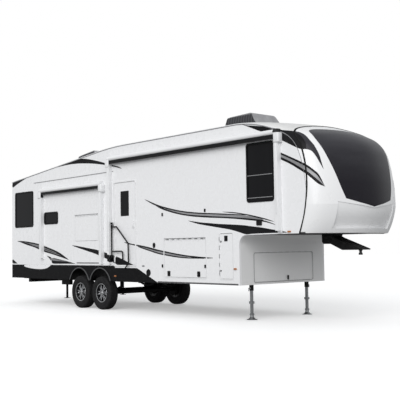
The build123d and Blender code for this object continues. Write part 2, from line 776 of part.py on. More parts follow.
save(panel(KITCHEN_PLANE, *size_of(KITCHEN), LEAF), "kitchen_door")
save(panel(BAGGAGE_CURB_PLANE, *size_of(BAGGAGE), LEAF), "baggage_door_curb")
save(panel(BAGGAGE_ROAD_PLANE, *size_of(BAGGAGE), LEAF), "baggage_door_road")
save(panel(UTILITY_PLANE, *reversed(size_of(UTILITY)), LEAF), "utility_door")
save(panel(FRONT_PLANE, *size_of(FRONT_DOOR), LEAF), "front_door")

# Entry door with its window cut through, and the pane
with BuildPart() as entry_door:
    add(panel(ENTRY_PLANE, *reversed(size_of(ENTRY)), ENTRY_LEAF))
    with BuildSketch(Plane.XZ.offset(SIDE)):
        plate(along(ENTRY_WINDOW), 0, ENTRY_CORNER)
    extrude(amount=-ENTRY_LEAF, mode=Mode.SUBTRACT)
    with BuildSketch(Plane.XZ.offset(SIDE)):
        with Locations((at(ENTRY_HANDLE[0]), ENTRY_HANDLE[1])):
            RectangleRounded(HANDLE_WIDE, HANDLE_HIGH, HANDLE_WIDE / 3)
    extrude(amount=HANDLE_PROUD)
save(entry_door.part, "entry_door")
with BuildPart() as entry_pane:
    with BuildSketch(Plane.XZ.offset(SIDE - PANE)):
        plate(along(ENTRY_WINDOW), 0, ENTRY_CORNER)
    extrude(amount=-PANE)
save(entry_pane.part, "entry_pane")

# Fixed halves of all the hinges
HINGES = (
    (KITCHEN_PLANE, size_of(KITCHEN)[0]),
    (BAGGAGE_CURB_PLANE, size_of(BAGGAGE)[0]),
    (BAGGAGE_ROAD_PLANE, size_of(BAGGAGE)[0]),
    (UTILITY_PLANE, size_of(UTILITY)[1]),
    (ENTRY_PLANE, size_of(ENTRY)[1]),
    (FRONT_PLANE, size_of(FRONT_DOOR)[0]),
)
halves = []
for plane, length in HINGES:
    with BuildPart(plane) as half:
        hinge_half(length, False)
    halves.append(half.part)
with BuildPart() as hinge_leaves:
    add(halves)
save(hinge_leaves.part, "hinge_leaves")

# Grab rail that folds across the entry door, on a pivot tube beside it
rail_y = -SIDE - RAIL_STAND
pivot = at(RAIL_PIVOT)
with BuildPart() as grab_rail:
    with Locations((pivot, rail_y, (RAIL_LOW + RAIL_HIGH) / 2)):
        Cylinder(RAIL_TUBE, RAIL_HIGH - RAIL_LOW)
    for route, bend in RAIL_BOWS:
        with BuildLine() as path:
            FilletPolyline(*[(at(x), rail_y, z) for x, z in route], radius=bend)
        with BuildSketch(Plane(origin=(pivot, rail_y, route[0][1]), z_dir=(1, 0, 0))):
            Circle(RAIL_TUBE)
        sweep(path=path.line)
    with Locations((pivot, rail_y, RAIL_HIGH)):
        Cylinder(RAIL_TUBE + RAIL_PLATE / 2, 4 * RAIL_TUBE)
save(grab_rail.part, "grab_rail")

# Wall brackets above and below the pivot tube
with BuildPart() as rail_brackets:
    for z0, z1 in ((RAIL_HIGH + 2 * RAIL_TUBE + SEAT_GAP, RAIL_HIGH + 3 * RAIL_TUBE),
                   (RAIL_LOW - RAIL_TUBE, RAIL_LOW - SEAT_GAP)):
        box(pivot - RAIL_TUBE, pivot + RAIL_TUBE, rail_y - RAIL_TUBE, -SIDE, z0, z1)
save(rail_brackets.part, "rail_brackets")

# Slide-out room: a tube through the road wall, closed by its outer wall
SLIDE_OUT = SIDE + FASCIA_GAP
slide_area = along(SLIDE)
with BuildPart() as slide_box:
    with BuildSketch(Plane.XZ.offset(-SLIDE_OUT)):
        plate(slide_area, 0, WINDOW_CORNER / 6)
        low, high, bottom, top = slide_area
        with Locations(((low + high) / 2, (bottom + top) / 2)):
            Rectangle(high - low - 2 * SLIDE_WALL, top - bottom - 2 * SLIDE_WALL, mode=Mode.SUBTRACT)
    extrude(amount=SLIDE_DEPTH)
save(slide_box.part, "slide_box")
with BuildPart() as slide_wall:
    with BuildSketch(Plane.XZ.offset(-SLIDE_OUT)):
        low, high, bottom, top = slide_area
        with Locations(((low + high) / 2, (bottom - SLIDE_LIP + top + SLIDE_FLANGE) / 2)):
            RectangleRounded(high - low + 2 * SLIDE_FLANGE, top - bottom + SLIDE_FLANGE + SLIDE_LIP, WINDOW_CORNER / 2)
        hole(along(SLIDE_WINDOW), -PANE_IN, WINDOW_CORNER - PANE_IN)
    extrude(amount=-FASCIA)
save(slide_wall.part, "slide_wall")
with BuildPart() as slide_frame:
    with BuildSketch(Plane.XZ.offset(-SLIDE_OUT - FASCIA)):
        ring(along(SLIDE_WINDOW), FRAME_WIDE, WINDOW_CORNER)
    extrude(amount=-FRAME_PROUD)
save(slide_frame.part, "slide_frame")
with BuildPart() as slide_pane:
    with BuildSketch(Plane.XZ.offset(-SLIDE_OUT - FASCIA)):
        plate(along(SLIDE_WINDOW), PANE_IN, WINDOW_CORNER - PANE_IN)
    extrude(amount=PANE)
save(slide_pane.part, "slide_pane")
with BuildPart() as slide_topper:
    low, high, bottom, top = slide_area
    roll_y = SIDE + AWNING_PROUD - TOPPER_RADIUS
    with Locations(((low + high) / 2, roll_y, top)):
        Cylinder(TOPPER_RADIUS, high - low, rotation=(0, 90, 0))
    for x in (low, high):
        box(x - CROSS / 2, x + CROSS / 2, SLIDE_OUT + FASCIA, roll_y, top - TOPPER_RADIUS, top + TOPPER_RADIUS)
save(slide_topper.part, "slide_topper")
with BuildPart() as slide_glides:
    for station in GLIDES:
        box(at(station), at(station) + 2 * CROSS, SIDE - SLIDE_DEPTH, INSIDE, DECK_TOP, SLIDE[2] - SEAT_GAP)
save(slide_glides.part, "slide_glides")

# Awnings: rolls and their arms on the curb wall
with BuildPart() as awning_rolls:
    for rear_arm, front_arm, height, _, _ in AWNINGS:
        x0, x1 = at(rear_arm) + ARM_WIDE / 2, at(front_arm) - ARM_WIDE / 2
        with Locations(((x0 + x1) / 2, -SIDE - AWNING_PROUD + ROLL_RADIUS, height)):
            Cylinder(ROLL_RADIUS - HEAD_PROUD, x1 - x0, rotation=(0, 90, 0))
save(awning_rolls.part, "awning_rolls")
with BuildPart() as awning_arms:
    for rear_arm, front_arm, height, rear_foot, front_foot in AWNINGS:
        for station, foot in ((rear_arm, rear_foot), (front_arm, front_foot)):
            x0, x1 = at(station) - ARM_WIDE / 2, at(station) + ARM_WIDE / 2
            box(x0, x1, -SIDE - ARM_DEEP, -SIDE, foot, height + ROLL_RADIUS)
            with Locations((at(station), -SIDE - AWNING_PROUD + ROLL_RADIUS, height)):
                Cylinder(ROLL_RADIUS, ARM_WIDE, rotation=(0, 90, 0))
save(awning_arms.part, "awning_arms")


def roof_plane(station):
    """Plane on the roof at a station, its local z square to the roof."""
    if station > ROOF_BREAK:
        return Plane(origin=(at(station), 0, ROOF_HIGH), z_dir=(0, 0, 1))
    run, rise = ROOF_BREAK, ROOF_HIGH - ROOF_REAR
    base = ROOF_REAR + station * rise / run
    return Plane(origin=(at(station), 0, base), x_dir=(run, 0, rise), z_dir=(-rise, 0, run))


def air_unit(height):
    """An air conditioner that stands on the origin: its side outline where it meets its front outline."""
    with BuildPart() as unit:
        with BuildSketch(Plane.XZ.offset(AIR_FRONT[0][0])):
            with BuildLine():
                Polyline(*[(x, share * height) for x, share in AIR_SIDE], close=True)
            make_face()
        extrude(amount=-2 * AIR_FRONT[0][0])
        with BuildSketch(Plane.YZ.offset(AIR_SIDE[0][0])):
            with BuildLine():
                Polyline(*[(y, share * height) for y, share in AIR_FRONT], close=True)
            make_face()
        extrude(amount=-2 * AIR_SIDE[0][0], mode=Mode.INTERSECT)
    return unit.part


# Air conditioners
with BuildPart() as air_conditioners:
    for station, height in AIR_UNITS:
        add(air_unit(height).moved(roof_plane(station).location))
save(air_conditioners.part, "air_conditioners")

# Roof vents
with BuildPart() as roof_vents:
    for station in VENTS:
        with BuildSketch(roof_plane(station)):
            RectangleRounded(VENT, VENT, WINDOW_CORNER / 2)
        extrude(amount=VENT_HIGH, taper=VENT_TAPER)
save(roof_vents.part, "roof_vents")

# Tail lamps on the rear wall's corners
with BuildPart() as tail_lamps:
    for side in (1, -1):
        with BuildSketch(Plane.YZ.offset(at(0))):
            with Locations((side * (INSIDE - LAMP_WIDE / 2), (LAMP_LOW + LAMP_TOP) / 2)):
                RectangleRounded(LAMP_WIDE, LAMP_TOP - LAMP_LOW, WINDOW_CORNER / 2)
        extrude(amount=-REAR_PROUD)
save(tail_lamps.part, "tail_lamps")

# Amber marker lamps low on the sides
with BuildPart() as marker_lamps:
    for side in (1, -1):
        with BuildSketch(Plane.XZ.offset(side * SIDE)):
            with Locations(*[(at(station), height) for station, height in MARKERS]):
                RectangleRounded(MARKER_LONG, MARKER_HIGH, MARKER_HIGH / 3)
        extrude(amount=side * MARKER_PROUD)
save(marker_lamps.part, "marker_lamps")


def post(x, y, half, low, high):
    """A square post about one upright axis, added to the open part."""
    box(x - half, x + half, y - half, y + half, low, high)


# Landing legs: outer tubes on the frame, inner tubes with their blocks and dished feet
with BuildPart() as landing_legs:
    for side in (1, -1):
        post(at(LEG_STATION), side * LEG_Y, LEG_TUBE / 2, LEG_SPLIT, BODY_BOTTOM)
save(landing_legs.part, "landing_legs")
with BuildPart() as landing_feet:
    for side in (1, -1):
        x, y = at(LEG_STATION), side * LEG_Y
        post(x, y, LEG_INNER / 2, FOOT[-1][1], LEG_SPLIT)
        for half, low, high in LEG_BLOCKS:
            post(x, y, half, low, high)
        with BuildSketch(Plane.XZ.offset(-y)):
            with BuildLine():
                Polyline(*[(x + radius, height) for radius, height in FOOT], close=True)
            make_face()
        revolve(axis=Axis((x, y, 0), (0, 0, 1)))
save(landing_feet.part, "landing_feet")

# Rear stabilisers, wound up clear of the ground
with BuildPart() as stabilisers:
    for side in (1, -1):
        x, y = at(STABILISER_STATION), side * RAIL_CENTRE
        box(x - STABILISER_HALF, x + STABILISER_HALF, y - STABILISER_WIDE / 2, y + STABILISER_WIDE / 2,
            STABILISER_LOW, RAIL_BOTTOM)
        post(x, y, STABILISER_ROD, STABILISER_FOOT, STABILISER_LOW)
        post(x, y, CROSS, STABILISER_FOOT, STABILISER_FOOT + PAD_THICK)
save(stabilisers.part, "stabilisers")

# Pin box under the overhang, bored for the kingpin
with BuildPart() as pin_box:
    with BuildSketch(Plane.XZ.offset(-PIN_BOX_WIDTH / 2)):
        with BuildLine():
            Polyline(*[(at(PIN_STATION + ahead), height) for ahead, height in PIN_PROFILE], close=True)
        make_face()
    extrude(amount=PIN_BOX_WIDTH)
    with BuildSketch(Plane.XY.offset(PIN_PLATE_LOW)):
        with Locations((at(PIN_STATION), 0)):
            Circle(PIN_HEAD + PIN_FIT)
    extrude(amount=PIN_PLATE, mode=Mode.SUBTRACT)
save(pin_box.part, "pin_box")
with BuildPart() as kingpin:
    with BuildSketch(Plane.XZ) as section:
        with BuildLine():
            Polyline(
                (at(PIN_STATION), PIN_PLATE_LOW + PIN_PLATE),
                (at(PIN_STATION) + PIN_HEAD, PIN_PLATE_LOW + PIN_PLATE),
                (at(PIN_STATION) + PIN_HEAD, PIN_NECK_TOP),
                (at(PIN_STATION) + PIN_SHANK, PIN_NECK_TOP),
                (at(PIN_STATION) + PIN_SHANK, PIN_NECK_LOW),
                (at(PIN_STATION) + PIN_HEAD, PIN_NECK_LOW),
                (at(PIN_STATION) + PIN_HEAD, PIN_BOTTOM),
                (at(PIN_STATION), PIN_BOTTOM),
                close=True,
            )
        make_face()
    revolve(axis=Axis((at(PIN_STATION), 0, 0), (0, 0, 1)))
save(kingpin.part, "kingpin")
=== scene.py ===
# %% [markdown]
# # A fifth wheel trailer, dressed around its frame
#
# The pieces that carry and move are already modelled: walls, roof, moulded front cap, doors, wheels and legs.
# This lesson gives them their finishes and adds what a builder of such trailers fits last: stripes, trim,
# tyre treads, latches, lamps and mouldings. All sizes are in metres.

import math

import bmesh
import bpy
from mathutils import Matrix, Vector


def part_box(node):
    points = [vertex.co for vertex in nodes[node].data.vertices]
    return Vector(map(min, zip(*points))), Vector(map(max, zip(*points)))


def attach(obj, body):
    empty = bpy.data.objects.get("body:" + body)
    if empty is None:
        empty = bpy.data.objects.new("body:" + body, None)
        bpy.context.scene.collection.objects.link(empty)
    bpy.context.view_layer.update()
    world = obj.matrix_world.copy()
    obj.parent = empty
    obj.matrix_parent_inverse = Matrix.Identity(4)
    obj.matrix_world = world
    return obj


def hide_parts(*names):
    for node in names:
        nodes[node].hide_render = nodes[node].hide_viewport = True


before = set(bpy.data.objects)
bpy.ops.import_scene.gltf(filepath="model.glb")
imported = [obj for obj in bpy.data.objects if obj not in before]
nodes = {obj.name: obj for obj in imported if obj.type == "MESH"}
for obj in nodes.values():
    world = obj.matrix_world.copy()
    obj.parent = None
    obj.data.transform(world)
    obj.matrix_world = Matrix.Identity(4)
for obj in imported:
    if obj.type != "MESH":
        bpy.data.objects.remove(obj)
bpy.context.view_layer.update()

# %% [markdown]
# ## Where things are
#
# A length along the body is easiest to read as a station, measured forward from the rear wall, as on a ship.
# The frame gives the rear wall, the side walls, the skirts and the tip of the nose, so nothing here repeats a
# size that the model already has. The curb side is the one with the doors, and looks along -Y.

# %% Read the main places from the frame
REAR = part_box("wall_rear")[0].x
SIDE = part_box("wall_road")[1].y
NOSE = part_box("front_cap")[1].x
SKIRT_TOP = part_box("skirts")[1].z
RAISED_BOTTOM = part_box("front_cap")[0].z
SIDES = (("curb", -1), ("road", 1))


def at(station):
    """X of a station, in metres forward of the rear wall."""
    return REAR + station


print("rear wall", round(REAR, 3), "side", round(SIDE, 3), "nose", round(NOSE, 3))

# %% [markdown]
# ## The camera
#
# The photograph was taken with a long lens from low down, in front of the curb side. A turn about the upright,
# a tilt and a slight roll place the camera, in that order from the outside in, and the lens sets how much it
# takes in.

# %% Place the camera
CAMERA_PLACE = (14.216, -11.707, 1.380)
CAMERA_TURN = math.radians(48.777)
CAMERA_TILT = math.radians(3.446)
CAMERA_ROLL = math.radians(-0.861)
SENSOR = 36.0
LENS = 72.15
SIGHT = 200

bpy.ops.object.camera_add(location=CAMERA_PLACE)
camera = bpy.context.object
turn = Matrix.Rotation(CAMERA_TURN, 4, "Z")
tilt = Matrix.Rotation(math.pi / 2 + CAMERA_TILT, 4, "X")
roll = Matrix.Rotation(CAMERA_ROLL, 4, "Z")
camera.rotation_euler = (turn @ tilt @ roll).to_euler()
camera.data.sensor_width = SENSOR
camera.data.lens = LENS
camera.data.clip_end = SIGHT
bpy.context.scene.camera = camera
print("camera at", CAMERA_PLACE, "with a lens of", LENS, "mm")

# %% [markdown]
# ## The studio
#
# A white trailer on a white ground needs light that is soft but not flat. A pale sky lights every side. One
# broad lamp, low on the camera's left, models the curb side and the nose, and leaves the recess under the bed
# in shade. The background stays white to the camera, while the light on the trailer is kept at a plain level.

# %% Sky and lamp
SKY = 0.62
SKY_TONE = (0.97, 0.985, 1.0)
KEY = 2.0
KEY_SOFT = math.radians(50)
KEY_FROM = (0.50, -0.75, 0.45)


def backdrop(tree, colour, strength):
    """A background of one colour."""
    node = tree.nodes.new("ShaderNodeBackground")
    node.inputs["Color"].default_value = (*colour, 1)
    node.inputs["Strength"].default_value = strength
    return node.outputs[0]


bpy.context.scene.view_settings.view_transform = "Standard"
world = bpy.data.worlds.new("studio_sky")
bpy.context.scene.world = world
world.use_nodes = True
sky = world.node_tree
sky.nodes.clear()
paths = sky.nodes.new("ShaderNodeLightPath")
seen = sky.nodes.new("ShaderNodeMath")
seen.operation = "MAXIMUM"
sky.links.new(paths.outputs["Is Camera Ray"], seen.inputs[0])
sky.links.new(paths.outputs["Is Transmission Ray"], seen.inputs[1])
either = sky.nodes.new("ShaderNodeMixShader")
sky.links.new(seen.outputs[0], either.inputs[0])
sky.links.new(backdrop(sky, SKY_TONE, SKY), either.inputs[1])
sky.links.new(backdrop(sky, (1, 1, 1), 1.0), either.inputs[2])
out = sky.nodes.new("ShaderNodeOutputWorld")
sky.links.new(either.outputs[0], out.inputs["Surface"])

bpy.ops.object.light_add(type="SUN", location=(6, -14, 14))
key = bpy.context.object
key.data.energy = KEY
key.data.angle = KEY_SOFT
key.rotation_euler = Vector(KEY_FROM).to_track_quat("Z", "Y").to_euler()
print("sky", SKY, "lamp", KEY)

# %% [markdown]
# ## A small kit for finishes
#
# Every finish here starts from the same parts: the place on the object, a noise at one scale, a ramp that
# turns the noise into a range, and a bump. Reading the place on the object keeps a pattern where it is when
# a door opens, because each piece carries its own coordinates.

# %% Helpers for finishes
COAT_ROUGH = 0.06


def nodes_of(material):
    """The empty node tree of a new material, and its surface shader and output."""
    material.use_nodes = True
    tree = material.node_tree
    tree.nodes.clear()
    shader = tree.nodes.new("ShaderNodeBsdfPrincipled")
    output = tree.nodes.new("ShaderNodeOutputMaterial")
    tree.links.new(shader.outputs[0], output.inputs["Surface"])
    return tree, shader, output


def noise(tree, place, scale, detail=3.0, rough=0.5, stretch=(1, 1, 1)):
    """Noise with about scale cells a metre, drawn out along an axis by stretch."""
    mapping = tree.nodes.new("ShaderNodeMapping")
    mapping.inputs["Scale"].default_value = stretch
    tree.links.new(place, mapping.inputs["Vector"])
    texture = tree.nodes.new("ShaderNodeTexNoise")
    texture.inputs["Scale"].default_value = scale
    texture.inputs["Detail"].default_value = detail
    texture.inputs["Roughness"].default_value = rough
    tree.links.new(mapping.outputs[0], texture.inputs["Vector"])
    return texture.outputs["Fac"]


def waves(tree, place, axis, scale, distortion=0.0):
    """Even waves along an axis."""
    texture = tree.nodes.new("ShaderNodeTexWave")
    texture.bands_direction = axis
    texture.inputs["Scale"].default_value = scale
    texture.inputs["Distortion"].default_value = distortion
    tree.links.new(place, texture.inputs["Vector"])
    return texture.outputs["Fac"]


def spread(tree, value, low=0.3, high=0.7, into=(0.0, 1.0)):
    """The value's range from low to high, stretched over another range. A noise lies mostly in 0.3 to 0.7."""
    node = tree.nodes.new("ShaderNodeMapRange")
    node.inputs["From Min"].default_value = low
    node.inputs["From Max"].default_value = high
    node.inputs["To Min"].default_value = into[0]
    node.inputs["To Max"].default_value = into[1]
    tree.links.new(value, node.inputs["Value"])
    return node.outputs[0]


def blend_colours(tree, share, first, second):
    """A colour between two, by share. Each may be a colour or a socket."""
    node = tree.nodes.new("ShaderNodeMix")
    node.data_type = "RGBA"
    tree.links.new(share, node.inputs["Factor"])
    for socket, colour in ((node.inputs["A"], first), (node.inputs["B"], second)):
        if isinstance(colour, tuple):
            socket.default_value = (*colour, 1)
        else:
            tree.links.new(colour, socket)
    return node.outputs["Result"]


def times(tree, first, second):
    """The product of two values."""
    node = tree.nodes.new("ShaderNodeMath")
    node.operation = "MULTIPLY"
    for socket, value in zip(node.inputs, (first, second)):
        if isinstance(value, (int, float)):
            socket.default_value = value
        else:
            tree.links.new(value, socket)
    return node.outputs[0]


def bump(tree, shader, heights):
    """Bumps in metres, each from a value, a depth and a sharpness, one on top of the other."""
    under = None
    for value, depth, strength in heights:
        node = tree.nodes.new("ShaderNodeBump")
        node.inputs["Distance"].default_value = depth
        node.inputs["Strength"].default_value = strength
        tree.links.new(value, node.inputs["Height"])
        if under:
            tree.links.new(under, node.inputs["Normal"])
        under = node.outputs[0]
    tree.links.new(under, shader.inputs["Normal"])


def part_of(tree, place, axis):
    """One coordinate of a point: X, Y or Z."""
    node = tree.nodes.new("ShaderNodeSeparateXYZ")
    tree.links.new(place, node.inputs[0])
    return node.outputs[axis]


def size_of(tree, value):
    """A value without its sign."""
    node = tree.nodes.new("ShaderNodeMath")
    node.operation = "ABSOLUTE"
    tree.links.new(value, node.inputs[0])
    return node.outputs[0]


def surface(tree, shader, colour, heights, gloss=None):
    """The colour and the bumps of a finish, and its roughness where that varies."""
    tree.links.new(colour, shader.inputs["Base Color"])
    if gloss:
        tree.links.new(gloss, shader.inputs["Roughness"])
    bump(tree, shader, heights)


def facing(tree, axis, low, high, either=False):
    """How far a face looks along an axis, from 0 at low to 1 at high. Either counts both ways along it."""
    value = part_of(tree, tree.nodes.new("ShaderNodeTexCoord").outputs["Normal"], axis)
    return spread(tree, size_of(tree, value) if either else value, low, high)


def finish(name, slot, rough, metallic=0.0, coat=0.0, specular=0.5):
    """A new finish for a slot of the record, with its constants on the shader, and the point on the object."""
    material = bpy.data.materials.new(name)
    tree, shader, _ = nodes_of(material)
    shader.inputs["Roughness"].default_value = rough
    shader.inputs["Metallic"].default_value = metallic
    shader.inputs["Coat Weight"].default_value = coat
    shader.inputs["Specular IOR Level"].default_value = specular
    shader.inputs["Coat Roughness"].default_value = COAT_ROUGH
    material["slot"] = slot
    return material, tree, shader, tree.nodes.new("ShaderNodeTexCoord").outputs["Object"]


print("finish helpers are ready")

# %% [markdown]
# ## The ground
#
# The trailer stands on a pale studio floor. A plain sheet is enough, because the floor only has to take the
# shadow. To the camera it is pale and gets a little light of its own, so that it runs into the white background
# without a horizon. To the trailer it is a mid grey, as a studio floor is, so that undersides stay dark.

# %% Floor
FLOOR_SIZE = 160
FLOOR_SHADE = (0.36, 0.36, 0.36)
FLOOR_PALE = (0.80, 0.80, 0.80)
FLOOR_GLOW = 0.34

bpy.ops.mesh.primitive_plane_add(size=FLOOR_SIZE)
floor = bpy.context.object
floor.name = "studio_floor"
floor_finish = bpy.data.materials.new("studio_floor_finish")
tree, shader, output = nodes_of(floor_finish)
shader.inputs["Roughness"].default_value = 0.9
seen = tree.nodes.new("ShaderNodeLightPath").outputs["Is Camera Ray"]
tree.links.new(blend_colours(tree, seen, FLOOR_SHADE, FLOOR_PALE), shader.inputs["Base Color"])
glow = tree.nodes.new("ShaderNodeEmission")
glow.inputs["Color"].default_value = (1, 1, 1, 1)
tree.links.new(times(tree, seen, FLOOR_GLOW), glow.inputs["Strength"])
both = tree.nodes.new("ShaderNodeAddShader")
tree.links.new(shader.outputs[0], both.inputs[0])
tree.links.new(glow.outputs[0], both.inputs[1])
tree.links.new(both.outputs[0], output.inputs["Surface"])
floor.data.materials.append(floor_finish)
print("floor", FLOOR_SIZE, "m across")

# %% [markdown]
# ## Finishes of the body
#
# The walls are glass fibre sheet with a glossy gel coat, bonded flat to foam. Held against the light such a
# wall is never quite flat, so two faint noises wave it: one as broad as the frame inside, one as fine as
# orange peel. The lowest part carries a little road dust.

# %% Gel coat for walls and cap
# Road dust: its colour, then the heights where it begins and is full, and its share there
DUST = (0.50, 0.48, 0.44)
DUSTY = (1.1, 0.65, (0.0, 0.22))


def gel_coat(name, slot, colour, rough, wave):
    """Glossy white gel coat with a faint wave, orange peel and dust near the road."""
    material, tree, shader, place = finish(name, slot, rough, coat=0.12, specular=0.35)
    tone = spread(tree, noise(tree, place, 0.9, 3))
    second = tuple(0.996 * part for part in colour)
    clean = blend_colours(tree, tone, colour, second)
    height = part_of(tree, place, "Z")
    low = spread(tree, height, *DUSTY)
    specks = spread(tree, noise(tree, place, 14, 6, 0.65), 0.5, 0.8)
    dust = times(tree, low, specks)
    dirty = blend_colours(tree, dust, clean, DUST)
    gloss = spread(tree, noise(tree, place, 7, 4), into=(rough * 0.8, rough * 1.35))
    broad = noise(tree, place, 1.7, 2, 0.4)
    peel = noise(tree, place, 420, 2)
    surface(tree, shader, dirty, [(broad, wave, 0.3), (peel, 0.00003, 0.3)], gloss)
    return material


WHITE = (0.82, 0.822, 0.832)
wall_white = gel_coat("wall_gel_coat", "white_panel", WHITE, 0.26, 0.003)
cap_white = gel_coat("cap_gel_coat", "white_cap", (0.82, 0.822, 0.828), 0.30, 0.0012)
# The front wall and flap under the bed are white gel coat too; their grey is painted shade of the overhang.
recess_white_painted_shade = gel_coat("recess_gel_coat_painted_shade", "white_panel", (0.74, 0.74, 0.74), 0.36, 0.002)
print("gel coats:", wall_white.name, cap_white.name, recess_white_painted_shade.name)

# %% [markdown]
# Trim and frame are black, but not all the same black. Moulded plastic has a fine grain, painted steel has a
# slightly uneven coat with dust in it, rubber is dull, and an anodised window frame is smooth with a faint
# drawn grain along its length.

# %% Black finishes


def grained_black(name, slot, colour, rough, grain, depth, dust=0.25, specular=0.12):
    """Black plastic or paint with a grain, and dust where the noise is high."""
    material, tree, shader, place = finish(name, slot, rough, specular=specular)
    dirt = spread(tree, noise(tree, place, 9, 7, 0.65), 0.42, 0.8, (0.0, dust))
    tone = blend_colours(tree, dirt, colour, (0.10, 0.095, 0.088))
    gloss = spread(tree, noise(tree, place, 30, 4), into=(rough * 0.85, min(1.0, rough * 1.2)))
    surface(tree, shader, tone, [(noise(tree, place, grain, 3), depth, 0.6)], gloss)
    return material


skirt_black = grained_black("skirt_plastic", "black_skirt", (0.0055, 0.0055, 0.0062), 0.46, 700, 0.0002, 0.05,
                            0.08)
frame_black = grained_black("frame_paint", "frame_black", (0.006, 0.006, 0.0065), 0.42, 160, 0.0003, 0.16)
trim_black = grained_black("trim_plastic", "black_trim", (0.008, 0.008, 0.009), 0.38, 900, 0.00015, 0.06)
seal_black = grained_black("seal_rubber", "rubber_seal", (0.012, 0.012, 0.012), 0.70, 500, 0.0002, 0.10)
window_black = grained_black("window_frame_black", "window_black", (0.006, 0.006, 0.007), 0.34, 1200, 0.00005,
                             0.03, 0.08)
lip_grey = grained_black("arch_lip_plastic", "grey_lip", (0.095, 0.095, 0.098), 0.34, 700, 0.0002, 0.10)
print("black finishes are ready")

# %% [markdown]
# Window glass on these trailers is tinted so dark that the room behind barely shows. It is modelled as a
# dark, very smooth surface that reflects the studio, with a hint of the blind behind it: soft upright folds
# that only change the tint by a few percent.

# %% Dark glass


def dark_glass():
    """Tinted safety glass with the faint folds of a blind behind it."""
    material, tree, shader, place = finish("tinted_glass", "dark_glass", 0.05, specular=0.12)
    folds = noise(tree, place, 9, 2, 0.4, (1, 1, 0.05))
    share = spread(tree, folds, 0.2, 0.8)
    tint = blend_colours(tree, share, (0.0055, 0.0055, 0.0065), (0.0075, 0.0075, 0.0085))
    surface(tree, shader, tint, [(noise(tree, place, 2.2, 2), 0.0012, 0.3)])
    return material


glass = dark_glass()
print("glass:", glass.name)

# %% [markdown]
# ## Rubber, metal, cloth and lenses
#
# Tyres get a dusty black with fine pits. The cast wheels are machined on their faces and painted dark in
# their pockets, so the finish looks at which way a face points: outward faces are bright, the others dark.

# %% Tyres and wheels


def tyre_rubber():
    """Dull black rubber, dusty on the tread and shoulder."""
    material, tree, shader, place = finish("tyre_rubber", "tyre_rubber", 0.75, specular=0.2)
    dust = spread(tree, noise(tree, place, 22, 7, 0.7), 0.4, 0.8, (0.0, 0.25))
    tone = blend_colours(tree, dust, (0.009, 0.009, 0.010), (0.07, 0.067, 0.062))
    surface(tree, shader, tone, [(noise(tree, place, 380, 3), 0.0004, 0.5)])
    return material


# How far from the trailer's middle plane the machined face of a rim begins and is full
RIM_FACE = (1.100, 1.115)


def cast_wheel():
    """Machined alloy on the outward faces, dark paint in the pockets."""
    material, tree, shader, place = finish("cast_wheel", "alloy", 0.25)
    outer = spread(tree, size_of(tree, part_of(tree, place, "Y")), *RIM_FACE)
    bright = times(tree, outer, facing(tree, "Y", 0.50, 0.85, either=True))
    lathe_lines = noise(tree, place, 260, 2, 0.5, (1, 0.2, 1))
    silver = blend_colours(tree, spread(tree, lathe_lines), (0.70, 0.71, 0.73), (0.82, 0.83, 0.85))
    tone = blend_colours(tree, bright, (0.016, 0.016, 0.018), silver)
    tree.links.new(bright, shader.inputs["Metallic"])
    gloss = spread(tree, bright, 0, 1, (0.38, 0.22))
    surface(tree, shader, tone, [(lathe_lines, 0.0001, 0.4)], gloss)
    return material


rubber = tyre_rubber()
wheel_alloy = cast_wheel()
print("wheels:", rubber.name, wheel_alloy.name)

# %% [markdown]
# Bare and coated metals come next: the zinc of the legs' feet, the greased kingpin, the white enamel of the
# awnings and their arms, and the dark cloth along the underside of a rolled awning, partly painted shade.

# %% Metals and cloth
ENAMEL = ((0.77, 0.775, 0.785), (0.81, 0.812, 0.82))
# The brow sweep's black on the front awning arm begins at this height and station
ARM_BLACK = (3.424, 9.70)


def plain_metal(name, slot, colour, rough, scale, metallic=1.0):
    """Metal with blotches of tone and small scratches."""
    material, tree, shader, place = finish(name, slot, rough, metallic)
    blotch = spread(tree, noise(tree, place, scale, 5, 0.6))
    darker = tuple(0.72 * part for part in colour)
    tone = blend_colours(tree, blotch, darker, colour)
    worn = spread(tree, noise(tree, place, scale * 3, 5), into=(rough * 0.8, min(1.0, rough * 1.4)))
    surface(tree, shader, tone, [(noise(tree, place, scale * 9, 3), 0.0002, 0.5)], worn)
    return material


def awning_enamel():
    """White baked enamel on rolled aluminium, with the faint lines of the rolling."""
    material, tree, shader, place = finish("awning_enamel", "white_metal", 0.32, coat=0.15)
    lines = noise(tree, place, 90, 2, 0.5, (0.01, 1, 1))
    tone = spread(tree, lines)
    surface(tree, shader, blend_colours(tree, tone, *ENAMEL), [(lines, 0.0003, 0.3)])
    return material


def arm_finish():
    """White enamel like the awning's, with the brow sweep's black carried over the top of the front arm."""
    material, tree, shader, place = finish("arm_enamel", "white_metal", 0.38)
    tone = spread(tree, noise(tree, place, 12, 3))
    white = blend_colours(tree, tone, (0.79, 0.795, 0.805), ENAMEL[1])
    height, station = ARM_BLACK
    high = spread(tree, part_of(tree, place, "Z"), height, height + 0.004)
    forward = spread(tree, part_of(tree, place, "X"), at(station), at(station + 0.02))
    share = times(tree, high, forward)
    tree.links.new(blend_colours(tree, share, white, (0.008, 0.008, 0.009)), shader.inputs["Base Color"])
    return material


def rolled_awning():
    """A rolled awning: white metal cover above, black cloth below that is partly painted shade."""
    material, tree, shader, place = finish("rolled_awning", "white_metal", 0.45)
    lines = noise(tree, place, 60, 3, 0.5, (0.01, 1, 1))
    tone = spread(tree, lines)
    cover = blend_colours(tree, tone, *ENAMEL)
    cloth = blend_colours(tree, tone, (0.010, 0.010, 0.011), (0.022, 0.022, 0.023))
    # Faces that look down are dark: the roll's cloth, and painted shade under the roll.
    tone = blend_colours(tree, facing(tree, "Z", -0.86, -0.80), cloth, cover)
    surface(tree, shader, tone, [(lines, 0.0004, 0.4)])
    return material


